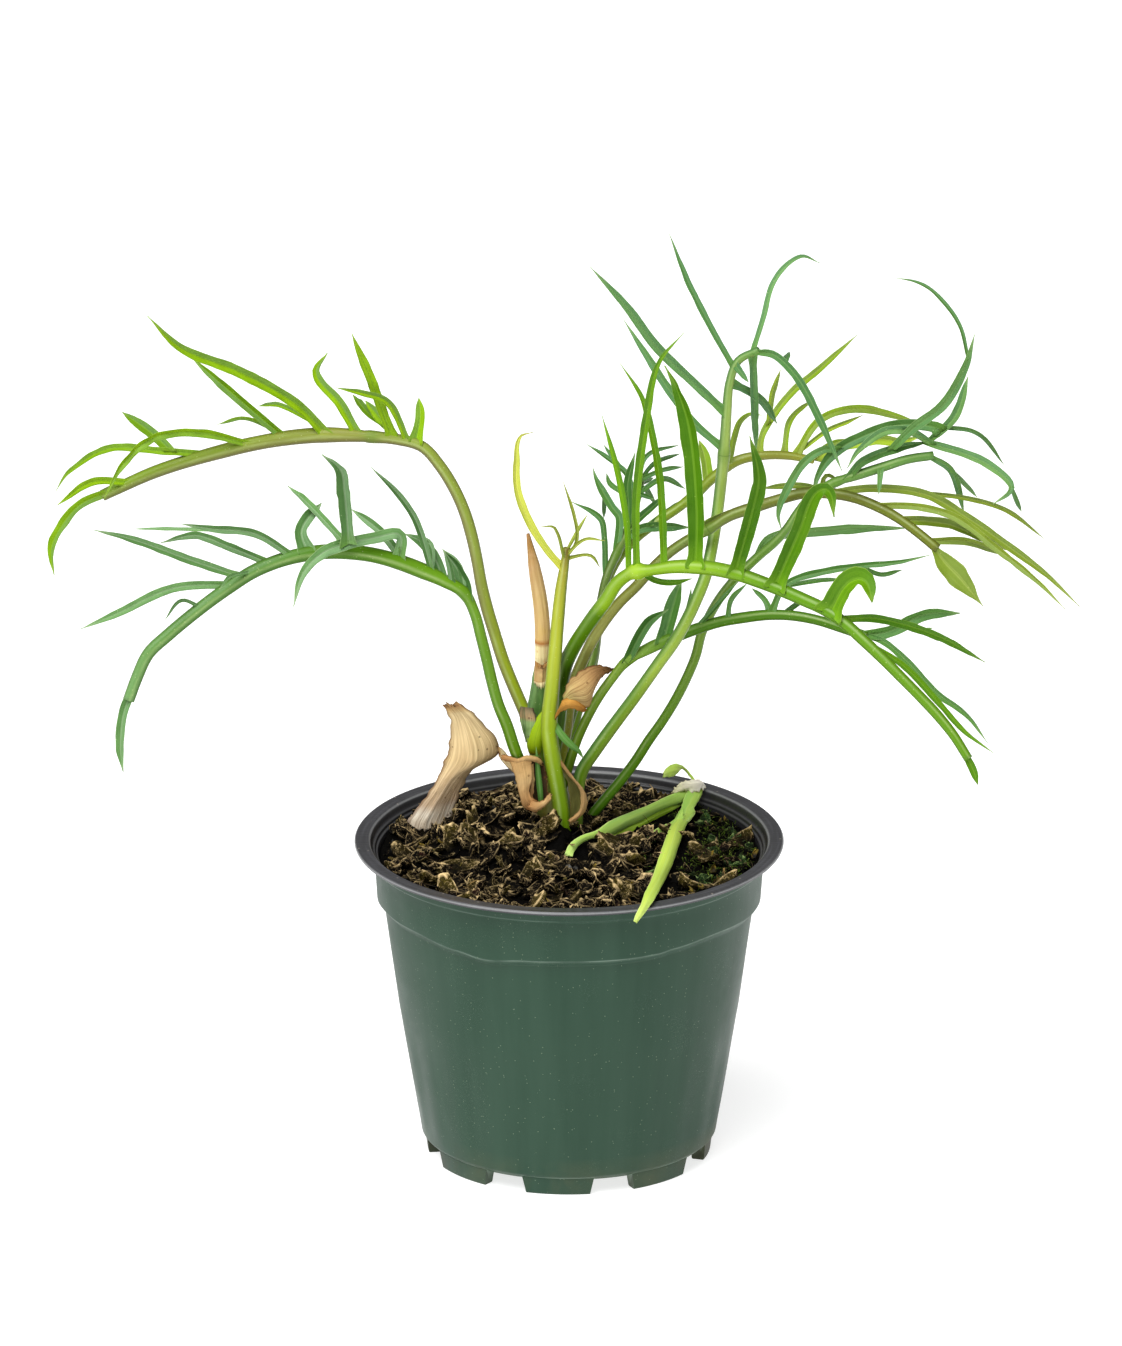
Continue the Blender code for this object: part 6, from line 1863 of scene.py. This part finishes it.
def makeSoil():
    turns, count = turnsOf(soil["sides"]), soil["rings"]
    wallRings = [
        [Vector((radius * math.cos(turn), radius * math.sin(turn), height)) for turn in turns]
        for radius, height in reversed(soil["wall"])
    ]
    topRings = []
    for ring in range(count, 0, -1):
        radius = soil["radius"] * ring / count
        spots = [(radius * math.cos(turn), radius * math.sin(turn)) for turn in turns]
        topRings.append([Vector((x, y, soilSurface(x, y))) for x, y in spots])
    # the bed takes the near-black of the painted shade all over: partly the soil's own dark colour and
    # partly shade in the gaps between the loose pieces
    bed = soilFinish("soil_bed", (3, 2, 1), (6, 4, 3), (30, 24, 14))
    addPiece("soil_bed", shellOf(wallRings + topRings), [bed], "soil", "soil")

    # the surface that the loose pieces are scattered over, with where each kind is thick
    base = looseObject("scatter_base", meshOf("scatter_base", shellOf(topRings[2:], capEnds=False), [bed]))
    leafLines = [curveThrough(placed(fallenLeaf[part]), 2) for part in ("long", "short", "scrap")]
    leafSpots = [point for line in leafLines for point in line]
    thickness = [thickAt(vertex.co.x / mm, vertex.co.y / mm, leafSpots) for vertex in base.data.vertices]
    for label in thickness[0]:
        layer = base.data.attributes.new(label, "FLOAT", "POINT")
        layer.data.foreach_set("value", [values[label] for values in thickness])
    random_ = random.Random(soil["drawSeed"])
    tree = makeScatterTree()
    area = math.pi * (soil["radius"] * mm) ** 2

    def some(count, maker, *ranges):
        return [maker(random_, *(random_.uniform(*span) for span in ranges)) for _ in range(count)]

    # each kind's shapes and how many, then its values in the order of the labels
    labels = ("Where", "Smallest", "Largest", "Tilt", "Sunk", "Finish")
    kinds = {
        "bark_chips": (
            some(8, barkPlate, (7, 12), (4, 7), (1.4, 2.8), (0.15, 0.5)),
            470, "chips", 0.6, 1.3, 0.5, -0.0008,
            soilFinish("bark", (3, 2, 1), (28, 20, 11), (255, 222, 162), 0.05, 0.85, 0.8),
        ),
        "bark_flakes": (
            some(9, barkPlate, (3.6, 8), (1.2, 2.6), (0.5, 1.0), (0.4, 1.1)),
            280, "left", 0.55, 1.4, 0.7, -0.0010,
            soilFinish("flakes", (3, 2, 1), (32, 22, 11), (255, 226, 164), 0.05, 0.75, 0.6),
        ),
        "bark_strips": (
            some(9, strand, (5, 11), (0.8, 1.5)),
            130, "left", 0.6, 1.2, 0.6, -0.0011,
            soilFinish("strips", (4, 3, 2), (44, 31, 16), (255, 220, 156), 0.05, 0.7),
        ),
        "fibres": (
            some(8, strand, (4, 11), (0.3, 0.6)),
            330, "litter", 0.6, 1.3, 0.7, -0.0018,
            soilFinish("fibre", (84, 62, 34), (150, 118, 66), (216, 180, 112), 0.2, 0.4),
        ),
        "stones": (
            some(5, grainShape, (1.4, 3.4)),
            75, "crumbs", 0.4, 1.2, 1.2, -0.0010,
            soilFinish("grit", (120, 114, 104), (186, 180, 168), (226, 220, 208), 0.3, 0.3),
        ),
        "crumbs": (
            some(5, grainShape, (1.0, 2.2)),
            2000, "crumbs", 0.35, 1.1, 1.2, -0.0002,
            soilFinish("crumb", (3, 2, 1), (14, 10, 6), (96, 76, 42)),
        ),
        "yellow_bits": (
            some(5, barkPlate, (2.0, 4.8), (1.0, 2.2), (0.4, 0.8), (0.6, 1.4)),
            110, "litter", 0.5, 1.2, 0.9, -0.0018,
            soilFinish("yellow_bit", (128, 122, 30), (206, 168, 44), (232, 206, 90), 0.35, 0.5),
        ),
        "moss_clumps": (
            some(6, barkPlate, (3.6, 6.5), (2.6, 4.6), (1.6, 2.6), (0.1, 0.4)),
            420, "mossy", 0.5, 1.2, 0.6, -0.0004,
            soilFinish("moss_clump", (12, 24, 8), (56, 90, 42), (176, 202, 124), 0.06, 0.85),
        ),
        "moss": (
            some(7, strand, (1.4, 3.4), (0.4, 0.7)),
            4200, "mossy", 0.6, 1.3, 1.3, -0.0016,
            soilFinish("moss", (26, 38, 6), (104, 134, 40), (196, 212, 104), 0.06, 0.75),
        ),
    }
    for number, (name, (shapes, count, *settings)) in enumerate(kinds.items()):
        shapes = shapeCollection(name + "_shapes", shapes)
        values = {"Shapes": shapes, "Per Square Metre": count / area, "Seed": soil["firstSeed"] + number}
        mesh = growTree(base, tree, {**values, **dict(zip(labels, settings))})
        mesh.name = name
        for vertex in mesh.vertices:
            reach = math.hypot(vertex.co.x, vertex.co.y) / mm
            if reach > soil["inside"]:
                vertex.co.xy *= soil["inside"] / reach
        # moss is lifted so that it takes less of the painted shade near the bed
        dry = soil["mossShadeLift"] if "moss" in name else 0.0
        rises = [riseOf(vertex.co, dry) for vertex in mesh.vertices]
        mesh.attributes.new("rise", "FLOAT", "POINT").data.foreach_set("value", rises)
        addObject(name, mesh, "soil")
        for helper in list(shapes.objects):
            bpy.data.objects.remove(helper)
        bpy.data.collections.remove(shapes)
    bpy.data.objects.remove(base)


makeSoil()
print("soil done")

# Floor, light and camera
studio = {
    "target": Vector((-0.00306, 0, 0.1931)), "distance": 12.0, "lens": 838.2, "floorReach": 14,
    "floorGlow": 0.74, "sky": 0.27, "sun": 3.6, "sunWidth": math.radians(50),
    "sunTurn": (math.radians(24), math.radians(-16), 0),
    "lamps": {
        "key": {"place": (-1.1, -1.9, 1.9), "power": 7, "size": 1.2},
        "fill": {"place": (1.7, -1.6, 1.1), "power": 3, "size": 1.4},
    },
}
white = (1, 1, 1, 1)


def facing(direction):
    return direction.to_track_quat("-Z", "Y").to_euler()


def makeStudio():
    floorMesh = bpy.data.meshes.new("floor")
    reach = studio["floorReach"]
    corners = [(x * reach, y * reach, 0) for x, y in ((-1, -1), (1, -1), (1, 1), (-1, 1))]
    floorMesh.from_pydata(corners, [], [(0, 1, 2, 3)])
    glow = {"Emission_Strength": studio["floorGlow"], "Emission_Color": white}
    floorFinish, shader = newFinish("floor_paper", Roughness=0.9, Specular_IOR_Level=0.1, **glow)
    grain = cloud(objectPlace(), 900.0, 2.0)
    wire(mix(grain, (190, 190, 190), (198, 198, 198)), shader["Base Color"])
    floorMesh.materials.append(floorFinish)
    looseObject("floor", floorMesh)

    world = bpy.data.worlds.new("soft_white")
    world.use_nodes = True
    sky = world.node_tree.nodes["Background"].inputs
    sky["Color"].default_value = white
    sky["Strength"].default_value = studio["sky"]
    bpy.context.scene.world = world

    for name, lamp in studio["lamps"].items():
        data = bpy.data.lights.new(name, "AREA")
        data.energy = lamp["power"]
        data.size = lamp["size"]
        obj = looseObject(name, data)
        obj.location = lamp["place"]
        obj.rotation_euler = facing(studio["target"] - Vector(lamp["place"]))

    data = bpy.data.lights.new("overhead", "SUN")
    data.energy = studio["sun"]
    data.angle = studio["sunWidth"]
    looseObject("overhead", data).rotation_euler = studio["sunTurn"]

    data = bpy.data.cameras.new("camera")
    data.lens = studio["lens"]
    data.clip_end = 50
    camera = looseObject("camera", data)
    camera.location = studio["target"] + toViewer * studio["distance"]
    camera.rotation_euler = facing(-toViewer)
    bpy.context.scene.camera = camera
    bpy.context.scene.view_settings.view_transform = "Standard"


makeStudio()
print("studio done")
